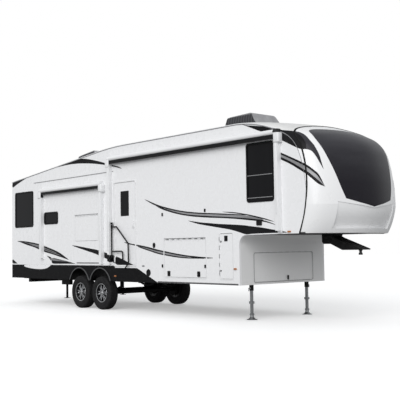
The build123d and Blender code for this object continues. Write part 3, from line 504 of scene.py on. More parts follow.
def roof_shroud():
    """The moulded shroud of a roof unit: pale in front and on top, dark slotted panels at its sides, partly
    painted shade.
    """
    material, tree, shader, place = finish("roof_unit_shroud", "black_trim", 0.5, specular=0.3)
    grain = noise(tree, place, 8, 5, 0.6)
    share = spread(tree, grain)
    pale = blend_colours(tree, share, (0.25, 0.25, 0.26), (0.34, 0.34, 0.35))
    slots = waves(tree, place, "X", 4.2, 0.3)
    dark = blend_colours(tree, slots, (0.022, 0.022, 0.025), (0.060, 0.060, 0.066))
    # Sideways faces are dark: partly the slotted grilles, partly painted shade on the shroud's sides.
    side_grilles_and_shade = facing(tree, "Y", 0.45, 0.6, either=True)
    surface(tree, shader, blend_colours(tree, side_grilles_and_shade, pale, dark),
            [(grain, 0.0005, 0.4), (slots, 0.004, 0.4)])
    return material


def two_ways(name, slot, up, other, low, high, rough):
    """One finish where a face looks up, another elsewhere."""
    material, tree, shader, place = finish(name, slot, rough, specular=0.3)
    share = spread(tree, noise(tree, place, 5, 6, 0.6), 0.35, 0.65)
    above = blend_colours(tree, share, up, tuple(1.08 * part for part in up))
    below = blend_colours(tree, share, other, tuple(1.02 * part for part in other))
    surface(tree, shader, blend_colours(tree, facing(tree, "Z", low, high), below, above),
            [(noise(tree, place, 60, 3), 0.0004, 0.4)])
    return material


def woven_cloth(name, slot, colour):
    """Coated awning cloth: a plain weave about a millimetre wide."""
    material, tree, shader, place = finish(name, slot, 0.85, specular=0.25)
    weave = times(tree, waves(tree, place, "X", 160, 0.6), waves(tree, place, "Z", 160, 0.6))
    lighter = tuple(min(1.0, 1.6 * part) for part in colour)
    shader.inputs["Sheen Weight"].default_value = 0.2
    surface(tree, shader, blend_colours(tree, weave, colour, lighter), [(weave, 0.0003, 0.6)])
    return material


zinc = plain_metal("leg_zinc", "grey_zinc", (0.42, 0.43, 0.44), 0.42, 18)
chrome = plain_metal("lug_chrome", "alloy", (0.78, 0.79, 0.80), 0.12, 60)
enamel = awning_enamel()
topper_cloth = woven_cloth("topper_cloth", "awning_cloth", (0.30, 0.30, 0.31))
arm_enamel = arm_finish()
roll_finish_with_painted_shade = rolled_awning()
greased = plain_metal("greased_steel", "steel", (0.030, 0.030, 0.031), 0.35, 40, 0.3)
rail_grey = plain_metal("rail_aluminium", "grey_zinc", (0.30, 0.30, 0.31), 0.45, 25, 0.2)
print("metals and cloth are ready")

# %% [markdown]
# Lamps have a clear outer lens over a moulded inner face. A fine grid of waves gives the prisms of the
# moulding, and a clear coat gives the smooth outside.

# %% Lenses and the last surfaces


def lens(name, slot, colour):
    """A coloured lens with moulded prisms under a smooth face."""
    material, tree, shader, place = finish(name, slot, 0.18, coat=1.0)
    prisms = waves(tree, place, "Z", 30)
    deeper = tuple(0.6 * part for part in colour)
    surface(tree, shader, blend_colours(tree, prisms, deeper, colour), [(prisms, 0.0008, 0.5)])
    return material


def speckled(name, slot, first, second, scale, rough):
    """A plain surface with two close tones and a fine grain."""
    material, tree, shader, place = finish(name, slot, rough)
    share = spread(tree, noise(tree, place, scale, 6, 0.6), 0.35, 0.65)
    surface(tree, shader, blend_colours(tree, share, first, second),
            [(noise(tree, place, scale * 12, 3), 0.0004, 0.5)])
    return material


red_lens = lens("red_lens", "red_lens", (0.45, 0.012, 0.010))
amber_lens = lens("amber_lens", "amber_lens", (0.46, 0.15, 0.025))
membrane = two_ways("roof_membrane", "roof_membrane", (0.66, 0.66, 0.655), WHITE, 0.55, 0.75, 0.5)
boards = two_ways("floor_board", "floor_board", (0.32, 0.24, 0.16), (0.010, 0.010, 0.011), -0.2, 0.4, 0.55)
lining = speckled("inner_panel", "inner_panel", (0.58, 0.54, 0.48), (0.62, 0.58, 0.52), 6, 0.6)
shroud = roof_shroud()
lid_smoke = grained_black("vent_lid", "black_trim", (0.050, 0.052, 0.056), 0.30, 500, 0.0001, 0.15)
print("lenses, roof and inside are ready")

# %% [markdown]
# ## Finishes onto the frame's pieces
#
# One table says which finish each node takes. The wheels' nodes share one row. A node keeps its mesh: only
# its material slots are filled.

# %% Give every node its finish
FINISHES = {
    wall_white: ("wall_curb", "wall_road", "wall_rear", "kitchen_door", "baggage_door_curb",
                 "baggage_door_road", "utility_door", "entry_door", "slide_wall", "slide_box"),
    recess_white_painted_shade: ("wall_front", "front_door"),
    cap_white: ("front_cap",),
    membrane: ("roof",),
    lining: ("inner_wall",),
    boards: ("floors",),
    skirt_black: ("skirts",),
    frame_black: ("main_rails", "crossmembers", "axles", "leaf_springs", "spring_hangers", "landing_legs",
                  "stabilisers", "pin_box", "slide_glides", "belly_pan"),
    trim_black: ("grab_rail", "rail_brackets"),
    seal_black: ("cap_seal",),
    window_black: ("window_frames", "slide_frame"),
    glass: ("window_panes", "entry_pane", "slide_pane"),
    lip_grey: ("arch_lips",),
    arm_enamel: ("awning_arms",),
    enamel: ("hinge_leaves", "roof_vents"),
    roll_finish_with_painted_shade: ("awning_rolls",),
    topper_cloth: ("slide_topper",),
    shroud: ("air_conditioners",),
    zinc: ("landing_feet",),
    greased: ("kingpin",),
    red_lens: ("tail_lamps",),
    amber_lens: ("marker_lamps",),
}
WHEELS = ("curb_front", "curb_rear", "road_front", "road_rear")


def give(obj, material):
    """All of an object takes one finish."""
    obj.data.materials.clear()
    obj.data.materials.append(material)


for material, names in FINISHES.items():
    for name in names:
        give(nodes[name], material)
for wheel in WHEELS:
    give(nodes[f"tyre_{wheel}"], rubber)
    give(nodes[f"rim_{wheel}"], wheel_alloy)
print("nodes without a finish:", [n for n, o in nodes.items() if not o.data.materials])

# %% [markdown]
# ## Modelling helpers
#
# Operators act on whatever is selected, so each step starts by selecting one object and nothing else. A
# finished piece has its place in its mesh and its object at the origin, as the frame's own pieces do.

# %% Helpers for modelling


def only(obj):
    """Select one object and make it active."""
    bpy.ops.object.select_all(action="DESELECT")
    obj.select_set(True)
    bpy.context.view_layer.objects.active = obj


def settle(obj):
    """Put an object's place, turn and size into its mesh."""
    only(obj)
    bpy.ops.object.transform_apply(location=True, rotation=True, scale=True)


def edit(obj, start="DESELECT"):
    """Open an object for editing with nothing or all of it selected, and give its editable mesh."""
    only(obj)
    bpy.ops.object.mode_set(mode="EDIT")
    bpy.ops.mesh.select_mode(type="VERT")
    bpy.ops.mesh.select_all(action=start)
    return bmesh.from_edit_mesh(obj.data)


def leave():
    """Close the object that is open for editing."""
    bpy.ops.object.mode_set(mode="OBJECT")


def twin_of(obj):
    """A copy of an object with a mesh of its own, free of any parent."""
    twin = obj.copy()
    twin.data = obj.data.copy()
    twin.parent = None
    bpy.context.scene.collection.objects.link(twin)
    return twin


def pick_faces(obj, wanted):
    """In edit mode, select the faces that a test on centre and normal wants."""
    bpy.ops.mesh.select_all(action="DESELECT")
    bpy.ops.mesh.select_mode(type="FACE")
    mesh = bmesh.from_edit_mesh(obj.data)
    picked = [face for face in mesh.faces if wanted(face.calc_center_median(), face.normal)]
    for face in picked:
        face.select_set(True)
    bmesh.update_edit_mesh(obj.data)
    return len(picked)


def close(obj, angle=35):
    """Leave edit mode and smooth all but the sharp edges."""
    if bpy.context.mode != "OBJECT":
        leave()
    only(obj)
    bpy.ops.object.shade_smooth_by_angle(angle=math.radians(angle))


def done(obj, name, material, body, angle=35):
    """Name a finished piece, give it its finish and let it ride on a body."""
    close(obj, angle)
    settle(obj)
    obj.name = name
    obj.data.name = name
    give(obj, material)
    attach(obj, body)
    return obj


def apply_all(obj):
    """Apply every modifier."""
    only(obj)
    for modifier in list(obj.modifiers):
        bpy.ops.object.modifier_apply(modifier=modifier.name)


def block(low, high, edge=0.004, segments=3):
    """A block between two corners with rounded edges."""
    low, high = Vector(low), Vector(high)
    bpy.ops.mesh.primitive_cube_add(size=1, location=(low + high) / 2)
    piece = bpy.context.object
    piece.scale = high - low
    settle(piece)
    edit(piece, "SELECT")
    bpy.ops.mesh.bevel(offset=edge, segments=segments, affect="EDGES")
    leave()
    return piece


def join(pieces):
    """Several objects as one."""
    only(pieces[0])
    for piece in pieces[1:]:
        piece.select_set(True)
    bpy.ops.object.join()
    return bpy.context.object


print("modelling helpers are ready")

# %% [markdown]
# ## Stripes along the body
#
# The stripes are cut vinyl, so each is a thin sheet a hair off the wall. A stripe is drawn as a strip: one
# short upright edge that is extruded from station to station, and a subdivision that turns the few stations
# into one smooth sweep. The table gives each station with the stripe's lower and upper edge there.

# %% Draw a stripe as an extruded strip
# How far a stripe lies off the wall, and the least height of its tip
VINYL = 0.0006
TIP = 0.002


def strip(rows, y, levels=2):
    """A strip from rows of station, bottom and top, standing at y and facing outwards."""
    (x0, low0, top0), (x1, low1, top1) = [(at(s), low, max(top, low + TIP)) for s, low, top in rows[:2]]
    bpy.ops.mesh.primitive_plane_add(size=1, rotation=(math.pi / 2 if y < 0 else -math.pi / 2, 0, 0))
    piece = bpy.context.object
    settle(piece)
    mesh = edit(piece)
    corners = {(False, False): (x0, low0), (False, True): (x0, top0), (True, False): (x1, low1),
               (True, True): (x1, top1)}
    for vert in mesh.verts:
        x, z = corners[(vert.co.x > 0, vert.co.z > 0)]
        vert.co = (x, y, z)
    last_x, last_low, last_top = x1, low1, top1
    for station, low, top in rows[2:]:
        x, top = at(station), max(top, low + TIP)
        bpy.ops.mesh.select_all(action="DESELECT")
        for edge in mesh.edges:
            if all(abs(vert.co.x - last_x) < 1e-5 for vert in edge.verts):
                edge.select_set(True)
        bmesh.update_edit_mesh(piece.data)
        shift = (x - last_x, 0, (low + top - last_low - last_top) / 2)
        bpy.ops.mesh.extrude_region_move(TRANSFORM_OT_translate={"value": shift})
        size = (top - low) / (last_top - last_low)
        bpy.ops.transform.resize(value=(1, 1, size), center_override=(x, y, (low + top) / 2))
        mesh = bmesh.from_edit_mesh(piece.data)
        last_x, last_low, last_top = x, low, top
    bpy.ops.mesh.select_all(action="SELECT")
    bpy.ops.mesh.normals_make_consistent(inside=False)
    mesh = bmesh.from_edit_mesh(piece.data)
    if sum(face.normal.y for face in mesh.faces) * y < 0:
        bpy.ops.mesh.flip_normals()
    leave()
    if levels:
        smooth = piece.modifiers.new("smooth", "SUBSURF")
        smooth.levels = levels
        smooth.render_levels = levels
        apply_all(piece)
    return piece


# Stripes: name, finish, layer, and rows of station, lower edge, upper edge
STRIPES = (
    ("rear_sweep", "black", 0, (
        (0.28, 1.638, 1.646), (0.43, 1.619, 1.649), (0.59, 1.582, 1.641), (0.86, 1.523, 1.623),
        (1.12, 1.486, 1.593), (1.38, 1.427, 1.563), (1.63, 1.356, 1.514), (1.87, 1.321, 1.463),
        (2.12, 1.280, 1.407), (2.36, 1.237, 1.351), (2.59, 1.194, 1.266), (2.75, 1.165, 1.199),
        (2.86, 1.143, 1.150))),
    ("rear_sweep_grey_top", "grey", 1, (
        (0.64, 1.608, 1.613), (0.86, 1.576, 1.589), (1.12, 1.536, 1.554), (1.38, 1.501, 1.525),
        (1.63, 1.445, 1.463), (1.87, 1.399, 1.417), (2.12, 1.345, 1.362), (2.31, 1.304, 1.314))),
    ("rear_sweep_grey_low", "grey", 1, (
        (0.96, 1.543, 1.548), (1.17, 1.509, 1.522), (1.38, 1.476, 1.494), (1.63, 1.407, 1.424),
        (1.87, 1.359, 1.379), (2.12, 1.312, 1.330), (2.36, 1.274, 1.286), (2.50, 1.246, 1.251))),
    ("rear_base_tip", "black", 0, (
        (1.82, 1.243, 1.251), (1.90, 1.208, 1.238), (1.98, 1.160, 1.220), (2.04, 1.092, 1.210))),
    ("rear_base", "black", 0, (
        (2.04, 1.047, 1.207), (2.21, 1.048, 1.187), (2.45, 1.049, 1.155), (2.68, 1.050, 1.128),
        (2.91, 1.051, 1.095), (3.04, 1.052, 1.073), (3.16, 1.052, 1.057))),
    ("rear_base_grey", "grey", 1, (
        (1.98, 1.157, 1.202), (2.12, 1.122, 1.185), (2.35, 1.118, 1.152), (2.59, 1.111, 1.128),
        (2.77, 1.106, 1.111))),
    ("middle_wedge", "black", 0, (
        (3.00, 1.494, 1.501), (3.14, 1.461, 1.490), (3.36, 1.416, 1.466), (3.58, 1.373, 1.440),
        (3.79, 1.332, 1.414), (4.00, 1.293, 1.391), (4.16, 1.251, 1.369), (4.35, 1.204, 1.328),
        (4.53, 1.156, 1.297), (4.68, 1.109, 1.265), (4.78, 1.078, 1.244), (4.88, 1.040, 1.219),
        (4.99, 1.029, 1.194), (5.18, 1.026, 1.137), (5.37, 1.025, 1.078), (5.52, 1.024, 1.032))),
    ("middle_line_grey", "grey", 0, (
        (5.71, 1.436, 1.445), (5.85, 1.409, 1.422), (6.03, 1.371, 1.396), (6.20, 1.335, 1.363),
        (6.37, 1.296, 1.334), (6.56, 1.274, 1.310), (6.71, 1.253, 1.288), (6.87, 1.234, 1.269),
        (7.03, 1.215, 1.248), (7.19, 1.206, 1.229), (7.35, 1.198, 1.212))),
    ("middle_line_top", "black", 1, (
        (5.15, 1.538, 1.545), (5.30, 1.496, 1.525), (5.49, 1.470, 1.496), (5.65, 1.446, 1.476),
        (5.85, 1.420, 1.454), (6.03, 1.394, 1.428), (6.20, 1.361, 1.395), (6.37, 1.332, 1.364),
        (6.56, 1.308, 1.339), (6.71, 1.286, 1.317), (6.87, 1.267, 1.295), (7.03, 1.245, 1.274),
        (7.19, 1.227, 1.255), (7.35, 1.210, 1.240), (7.50, 1.198, 1.228), (7.65, 1.184, 1.218),
        (7.86, 1.176, 1.205), (7.98, 1.178, 1.199), (8.11, 1.184, 1.193))),
    ("middle_line_low", "black", 1, (
        (5.65, 1.431, 1.448), (5.85, 1.385, 1.413), (6.03, 1.347, 1.373), (6.20, 1.310, 1.337),
        (6.37, 1.271, 1.298), (6.56, 1.249, 1.276), (6.71, 1.230, 1.255), (6.87, 1.211, 1.236),
        (7.03, 1.194, 1.217), (7.19, 1.186, 1.208), (7.35, 1.178, 1.200), (7.50, 1.176, 1.200),
        (7.65, 1.174, 1.186), (7.86, 1.172, 1.178))),
    ("upper_line_grey", "grey", 0, (
        (6.63, 2.213, 2.220), (6.72, 2.188, 2.203), (6.89, 2.145, 2.172), (7.05, 2.113, 2.142),
        (7.21, 2.086, 2.117), (7.37, 2.065, 2.098), (7.52, 2.047, 2.083), (7.67, 2.035, 2.069),
        (7.88, 2.016, 2.054), (8.09, 2.000, 2.041), (8.32, 1.985, 2.026), (8.60, 1.966, 2.008),
        (8.87, 1.944, 1.991), (9.14, 1.912, 1.967), (9.32, 1.890, 1.938), (9.50, 1.866, 1.887))),
    ("upper_line_top", "black", 1, (
        (5.92, 2.450, 2.456), (6.05, 2.395, 2.421), (6.22, 2.324, 2.360), (6.39, 2.273, 2.309),
        (6.56, 2.231, 2.265), (6.73, 2.200, 2.230), (6.89, 2.170, 2.197), (7.05, 2.140, 2.167),
        (7.21, 2.115, 2.143), (7.37, 2.096, 2.122), (7.52, 2.081, 2.107), (7.67, 2.067, 2.092),
        (7.88, 2.052, 2.075), (8.09, 2.039, 2.063), (8.32, 2.024, 2.047), (8.60, 2.006, 2.027),
        (8.88, 1.989, 2.006), (9.06, 1.978, 1.987))),
    ("upper_line_low", "black", 1, (
        (6.29, 2.306, 2.314), (6.39, 2.256, 2.277), (6.56, 2.196, 2.233), (6.72, 2.157, 2.190),
        (6.89, 2.116, 2.147), (7.05, 2.085, 2.115), (7.21, 2.056, 2.086), (7.37, 2.035, 2.065),
        (7.52, 2.017, 2.049), (7.67, 2.003, 2.035), (7.88, 1.985, 2.018), (8.09, 1.971, 2.002),
        (8.32, 1.958, 1.987), (8.60, 1.938, 1.966), (8.87, 1.914, 1.944), (9.14, 1.884, 1.916),
        (9.40, 1.858, 1.889), (9.52, 1.841, 1.868), (9.65, 1.813, 1.833), (9.75, 1.787, 1.799),
        (9.80, 1.772, 1.776))),
    ("upper_branch", "black", 1, (
        (8.38, 2.072, 2.077), (8.60, 2.044, 2.064), (8.74, 2.031, 2.052), (8.88, 2.010, 2.031),
        (9.01, 1.988, 2.010), (9.14, 1.966, 1.988), (9.27, 1.938, 1.962), (9.40, 1.911, 1.935),
        (9.53, 1.883, 1.905), (9.65, 1.855, 1.873), (9.76, 1.833, 1.838))),
    ("lower_wedge", "black", 0, (
        (7.36, 1.938, 1.944), (7.52, 1.896, 1.921), (7.67, 1.863, 1.903), (7.82, 1.839, 1.884),
        (7.97, 1.818, 1.875), (8.17, 1.789, 1.855), (8.32, 1.767, 1.842), (8.46, 1.748, 1.834),
        (8.60, 1.727, 1.825), (8.73, 1.700, 1.817), (8.87, 1.665, 1.807), (9.03, 1.618, 1.793),
        (9.13, 1.630, 1.777), (9.26, 1.633, 1.763), (9.39, 1.633, 1.749), (9.52, 1.634, 1.730),
        (9.65, 1.635, 1.707), (9.77, 1.635, 1.689), (9.89, 1.636, 1.677), (10.01, 1.635, 1.652),
        (10.08, 1.635, 1.640))),
    ("roof_corner", "black", 0, (
        (0.00, 3.074, 3.240), (0.16, 3.137, 3.260), (0.38, 3.197, 3.282), (0.60, 3.256, 3.302),
        (0.86, 3.319, 3.325))),
    ("roof_peak", "black", 0, (
        (2.30, 3.455, 3.458), (2.47, 3.462, 3.476), (2.70, 3.472, 3.500), (2.93, 3.476, 3.524),
        (3.16, 3.470, 3.547), (3.34, 3.461, 3.565), (3.50, 3.450, 3.572), (3.81, 3.420, 3.520),
        (4.07, 3.388, 3.465), (4.27, 3.358, 3.418), (4.40, 3.335, 3.386), (4.56, 3.304, 3.344),
        (4.74, 3.266, 3.301), (4.87, 3.242, 3.274), (4.99, 3.211, 3.240), (5.10, 3.185, 3.194))),
    ("rear_corner", "black", 0, (
        (0.00, 1.046, 1.175), (0.10, 1.046, 1.136), (0.22, 1.046, 1.080), (0.30, 1.046, 1.050))),
)
print(len(STRIPES), "stripes drawn up")

# %% [markdown]
# Vinyl finishes: a satin black, a grey and a silver whose tone drifts along the sweep, as printed fades do, and
# a plain white. Where stripes cross, the one of the higher layer lies half a millimetre further out. A stripe
# is cut at the edges of every door that it crosses, and the piece on the door rides with the door.

# %% Vinyl finishes and the stripes


def vinyl(name, slot, colour, rough, metallic, fade):
    """Printed vinyl. Fade is how far the tone drifts along the body."""
    material, tree, shader, place = finish(name, slot, rough, metallic, coat=0.0, specular=0.07)
    drift = spread(tree, noise(tree, place, 1.4, 2, 0.5, (1, 1, 3)))
    lighter = tuple(min(1.0, part * (1 + fade) + 0.02 * fade) for part in colour)
    surface(tree, shader, blend_colours(tree, drift, colour, lighter),
            [(noise(tree, place, 500, 2), 0.00005, 0.5)])
    return material


graphic_black = vinyl("vinyl_black", "graphic_black", (0.006, 0.006, 0.007), 0.34, 0.0, 0.3)
graphic_grey = vinyl("vinyl_grey", "graphic_grey", (0.17, 0.17, 0.175), 0.36, 0.0, 0.9)
graphic_silver = vinyl("vinyl_silver", "graphic_grey", (0.22, 0.22, 0.226), 0.32, 0.1, 0.5)
graphic_white = vinyl("vinyl_white", "white_panel", (0.80, 0.80, 0.81), 0.34, 0.0, 0.02)
VINYLS = {"black": graphic_black, "grey": graphic_grey}
# How far a layer lies in front of the one below it
LAYER = 0.0005
# What moves on each side: node and body
DOORS = {"curb": (("entry_door", "entry"), ("kitchen_door", "kitchen_flap"),
                  ("baggage_door_curb", "baggage_flap_curb"), ("utility_door", "utility_flap")),
         "road": (("baggage_door_road", "baggage_flap_road"), ("slide_wall", "slide_room"))}
# How much of a stripe is left out around a door, and how deep the back of a door's leaf lies
GAP = 0.006
LEAF_BACK = 0.038


def cut(obj, point, normal):
    """Cut an object's mesh along a plane, keeping both sides."""
    edit(obj, "SELECT")
    bpy.ops.mesh.bisect(plane_co=point, plane_no=normal)
    leave()


def within(point, low, high):
    """Whether a point lies in a door's rectangle."""
    return low.x < point.x < high.x and low.z < point.z < high.z


def split_off(obj, low, high, keep):
    """Cut a stripe at a rectangle and give what is inside as a new object, or delete it."""
    if not any(within(vert.co, low, high) for vert in obj.data.vertices):
        return None
    for point, normal in ((low, (1, 0, 0)), (high, (1, 0, 0)), (low, (0, 0, 1)), (high, (0, 0, 1))):
        cut(obj, point, normal)
    edit(obj)
    picked = pick_faces(obj, lambda centre, _: within(centre, low, high))
    inside = None
    if picked:
        if keep:
            bpy.ops.mesh.separate(type="SELECTED")
            inside = next(o for o in bpy.context.selected_objects if o != obj)
        else:
            bpy.ops.mesh.delete(type="FACE")
    leave()
    return inside


def door_face(node, side):
    """The corners of a door's leaf on the wall, without its hinge."""
    if node == "slide_wall":
        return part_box(node)
    inner = [v.co for v in nodes[node].data.vertices if abs(abs(v.co.y) - SIDE + LEAF_BACK) < 0.008]
    return [Vector((end(c.x for c in inner), side * SIDE, end(c.z for c in inner))) for end in (min, max)]


door_faces = {node: door_face(node, side) for word, side in SIDES for node, _ in DOORS[word]}
ROAD_FACE = door_faces["slide_wall"][1].y - SIDE
stripes_made = 0
for word, side in SIDES:
    for name, colour, layer, rows in STRIPES:
        stripe = strip(rows, side * (SIDE + VINYL + layer * LAYER))
        for node, body in DOORS[word]:
            low, high = door_faces[node]
            on_door = split_off(stripe, low, high, keep=True)
            if on_door is None:
                continue
            margin = Vector((GAP, 0, GAP))
            split_off(stripe, low - margin, high + margin, keep=False)
            if node == "slide_wall":
                on_door.location.y += ROAD_FACE
            done(on_door, f"{name}_{word}_on_{node}", VINYLS[colour], body)
            stripes_made += 1
        if not stripe.data.polygons:
            bpy.data.objects.remove(stripe)
            continue
        done(stripe, f"{name}_{word}", VINYLS[colour], "trailer")
        stripes_made += 1
print(stripes_made, "stripe pieces, cut at the doors and at the slide-out room")

# %% [markdown]
# A white lobe of the same vinyl dips from the wall over the black skirt at the rear corner, so it lies on the
# skirt's own face.

# %% White lobe on the skirt
LOBE = ((0.02, 1.116), (0.21, 1.060), (0.32, 1.018), (0.64, 0.967), (0.96, 0.930), (1.27, 0.909), (1.57, 0.907),
        (1.77, 0.924), (1.92, 0.966), (2.01, 1.012))
for word, side in SIDES:
    rows = [(s, low, SKIRT_TOP - 0.001) for s, low in LOBE if low < SKIRT_TOP - 0.002]
    lobe = strip(rows, side * (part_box("skirts")[1].y + VINYL))
    done(lobe, f"white_lobe_{word}", graphic_white, "trailer")
print("white lobes on the skirts")

# %% [markdown]
# ## The mask on the nose
#
# The black mask follows the curved cap, so it is drawn flat in front of it, sliced into a fine lattice and
# then pressed back onto the cap. The slices are needed because a sheet can only bend along its edges.

# %% Press a flat outline onto the cap
# Lattice steps for the mask and for the finer sweeps, and how far both lie off the cap
SLICE = 0.03
FINE = 0.014
LIFT = 0.0022
# Sheets are drawn this far in front of the cap, and may be this far from it
AHEAD = 0.1
REACH = 1.2


def filled(points, axis, level):
    """A flat sheet from a smooth closed outline. Axis is the one that it faces along."""
    bpy.ops.mesh.primitive_circle_add(vertices=len(points), radius=1, fill_type="NGON")
    piece = bpy.context.object
    mesh = edit(piece)
    mesh.verts.ensure_lookup_table()
    for vert, (across, height) in zip(mesh.verts, points):
        vert.co = (level, across, height) if axis == "X" else (across, level, height)
    leave()
    return piece


def lattice(piece, step):
    """Slice a flat sheet along all three axes where it has any extent."""
    low = Vector([min(v.co[i] for v in piece.data.vertices) for i in range(3)])
    high = Vector([max(v.co[i] for v in piece.data.vertices) for i in range(3)])
    edit(piece)
    for i in range(3):
        count = int((high[i] - low[i]) / step)
        normal = tuple(1 if j == i else 0 for j in range(3))
        for k in range(1, count + 1):
            point = low.copy()
            point[i] = low[i] + k * (high[i] - low[i]) / (count + 1)
            bpy.ops.mesh.select_all(action="SELECT")
            bpy.ops.mesh.bisect(plane_co=point, plane_no=normal)
    bpy.ops.mesh.select_all(action="SELECT")
    bpy.ops.mesh.quads_convert_to_tris()
    leave()


def press(piece, target, axis, lift=LIFT):
    """Press a sheet onto a target along an axis, then lift it a hair off the surface."""
    onto = piece.modifiers.new("onto", "SHRINKWRAP")
    onto.target = target
    onto.wrap_method = "PROJECT"
    onto.use_project_x = axis == "X"
    onto.use_project_y = axis == "Y"
    onto.use_negative_direction = True
    onto.use_positive_direction = True
    onto.project_limit = REACH
    off = piece.modifiers.new("off", "SHRINKWRAP")
    off.target = target
    off.wrap_method = "NEAREST_SURFACEPOINT"
    off.wrap_mode = "OUTSIDE_SURFACE"
    off.offset = lift
    apply_all(piece)


def joined_skin(names):
    """A copy of several nodes as one object, to press sheets onto. It is removed afterwards."""
    skin = join([twin_of(nodes[name]) for name in names])
    edit(skin, "SELECT")
    bpy.ops.mesh.remove_doubles(threshold=0.0001)
    leave()
    return skin


skin = joined_skin(("front_cap", "cap_seal", "wall_curb", "wall_road", "roof"))
print("skin of", len(skin.data.polygons), "faces to press onto")

# %% [markdown]
# The outline of the mask is symmetric: its curb half is listed from the top middle to the point at the
# bottom, and mirrored. Round stretches between the listed points come from a smooth curve through them.

# %% The mask and the sweeps beside it
# Outline of the mask, from the top middle down one side: distance from the middle, height
MASK = ((0.0, 3.508), (0.26, 3.506), (0.553, 3.499), (0.76, 3.478), (0.900, 3.430), (0.946, 3.330),
        (0.950, 3.204), (0.889, 2.948), (0.809, 2.677), (0.728, 2.409), (0.645, 2.210), (0.358, 2.144),
        (0.0, 2.076))
MASK_SHARP = (10, 12)
CURVE_STEPS = 5


def through(points, sharp, steps):
    """Points on a smooth curve through the given ones, straight next to the sharp ones."""
    curve = []
    last = len(points) - 1
    for i in range(last):
        p1, p2 = Vector(points[i]), Vector(points[i + 1])
        p0 = Vector(points[i - 1]) if i > 0 and i not in sharp else p1 + (p1 - p2)
        p3 = Vector(points[i + 2]) if i + 2 <= last and i + 1 not in sharp else p2 + (p2 - p1)
        for k in range(steps):
            t = k / steps
            a = 2 * p1 + (p2 - p0) * t
            b = (2 * p0 - 5 * p1 + 4 * p2 - p3) * t * t
            c = (3 * p1 - p0 - 3 * p2 + p3) * t * t * t
            curve.append(tuple((a + b + c) / 2))
    curve.append(tuple(points[last]))
    return curve


half = through(MASK, MASK_SHARP, CURVE_STEPS)
outline = [(-y, z) for y, z in half] + [(y, z) for y, z in reversed(half[1:-1])]


def mask_finish():
    """Deep charcoal with a fine metallic fleck under a clear coat, paler towards the brow as a painted sky
    reflection.
    """
    material, tree, shader, place = finish("mask_charcoal_painted_reflection", "graphic_black", 0.34, coat=0.07, specular=0.14)
    # Painted reflection: the charcoal pales with height towards the brow.
    height = spread(tree, part_of(tree, place, "Z"), 2.5, 3.6)
    drift = times(tree, height, spread(tree, noise(tree, place, 1.6, 2, 0.5, (1, 0.5, 3)), into=(0.5, 1.0)))
    tone = blend_colours(tree, drift, (0.010, 0.009, 0.013), (0.060, 0.060, 0.068))
    fleck = spread(tree, noise(tree, place, 1800, 1), 0.62, 0.72, (0.0, 0.12))
    surface(tree, shader, blend_colours(tree, fleck, tone, (0.30, 0.30, 0.33)),
            [(noise(tree, place, 300, 2), 0.00004, 0.5)])
    return material


charcoal = mask_finish()
mask = filled(outline, "X", NOSE + AHEAD)
lattice(mask, SLICE)
press(mask, skin, "X")
done(mask, "nose_mask", charcoal, "trailer", 60)
print("mask of", len(mask.data.polygons), "faces")

# Sweeps on both sides: name, finish, outline as station and height, sharp corners
SWEEPS = (
    ("brow_sweep", "black", (
        (8.92, 3.712), (9.08, 3.668), (9.24, 3.640), (9.39, 3.614), (9.55, 3.584), (9.70, 3.548),
        (9.84, 3.514), (9.997, 3.466), (10.153, 3.440), (10.340, 3.340), (10.458, 3.205), (10.501, 3.076),
        (10.400, 3.088), (10.178, 3.190), (9.99, 3.281), (9.84, 3.358), (9.70, 3.423), (9.55, 3.477),
        (9.39, 3.532), (9.24, 3.592), (9.08, 3.653)), (0, 8, 11)),
    ("brow_fade", "mask", (
        (10.153, 3.440), (10.297, 3.400), (10.416, 3.325), (10.531, 3.203), (10.592, 3.120),
        (10.664, 2.969), (10.741, 2.708), (10.646, 2.923), (10.573, 3.039), (10.501, 3.076),
        (10.458, 3.205), (10.340, 3.340)), (0, 6, 9)),
    ("silver_band", "silver", (
        (9.885, 3.083), (10.170, 2.961), (10.491, 2.813), (10.649, 2.675), (10.707, 2.585),
        (10.774, 2.406), (10.714, 2.463), (10.630, 2.554), (10.530, 2.648), (10.398, 2.729),
        (10.167, 2.855), (9.885, 2.980)), (0, 5, 11)),
    ("silver_edge_top", "black", (
        (9.885, 3.095), (10.170, 2.973), (10.491, 2.825), (10.655, 2.683), (10.714, 2.588),
        (10.776, 2.404), (10.702, 2.570), (10.640, 2.655), (10.480, 2.790), (10.164, 2.938),
        (9.885, 3.060)), (0, 5, 10)),
    ("silver_edge_low", "black", (
        (9.885, 3.014), (10.170, 2.890), (10.404, 2.764), (10.540, 2.684), (10.642, 2.588),
        (10.722, 2.492), (10.772, 2.412), (10.708, 2.455), (10.624, 2.546), (10.524, 2.640),
        (10.394, 2.720), (10.163, 2.846), (9.885, 2.970)), (0, 6, 12)),
)
PAINTS = {"mask": charcoal, "silver": graphic_silver, "black": graphic_black}
# How much further out a sheet lies where it crosses another
SHEET_STEP = {"brow_sweep": 0.0, "brow_fade": 0.0002, "silver_band": 0.0, "silver_edge_top": 0.0004,
              "silver_edge_low": 0.0004}
for name, paint, points, sharp in SWEEPS:
    ring_points = through([*points, points[0]], (*sharp, len(points)), CURVE_STEPS)[:-1]
    for word, side in SIDES:
        sweep = filled([(at(station), height) for station, height in ring_points], "Y",
                       side * (SIDE + AHEAD))
        lattice(sweep, FINE)
        press(sweep, skin, "Y", LIFT + SHEET_STEP[name])
        done(sweep, f"{name}_{word}", PAINTS[paint], "trailer", 60)
print(2 * len(SWEEPS), "sweeps beside the mask")
bpy.data.objects.remove(skin)

# %% [markdown]
# ## Plates, rings and turned pieces
#
# Most trim on a trailer is one of three things: a plate that stands a little proud of a wall, a ring around an
# opening, or a turned piece. A plate starts as a plane whose corners are rounded as single points, then gets
# its thickness and a small bevel. A ring is the same plane with its middle inset and taken out. A turned piece
# is a half outline that is spun about its axis. What comes in numbers is modelled once and copied.

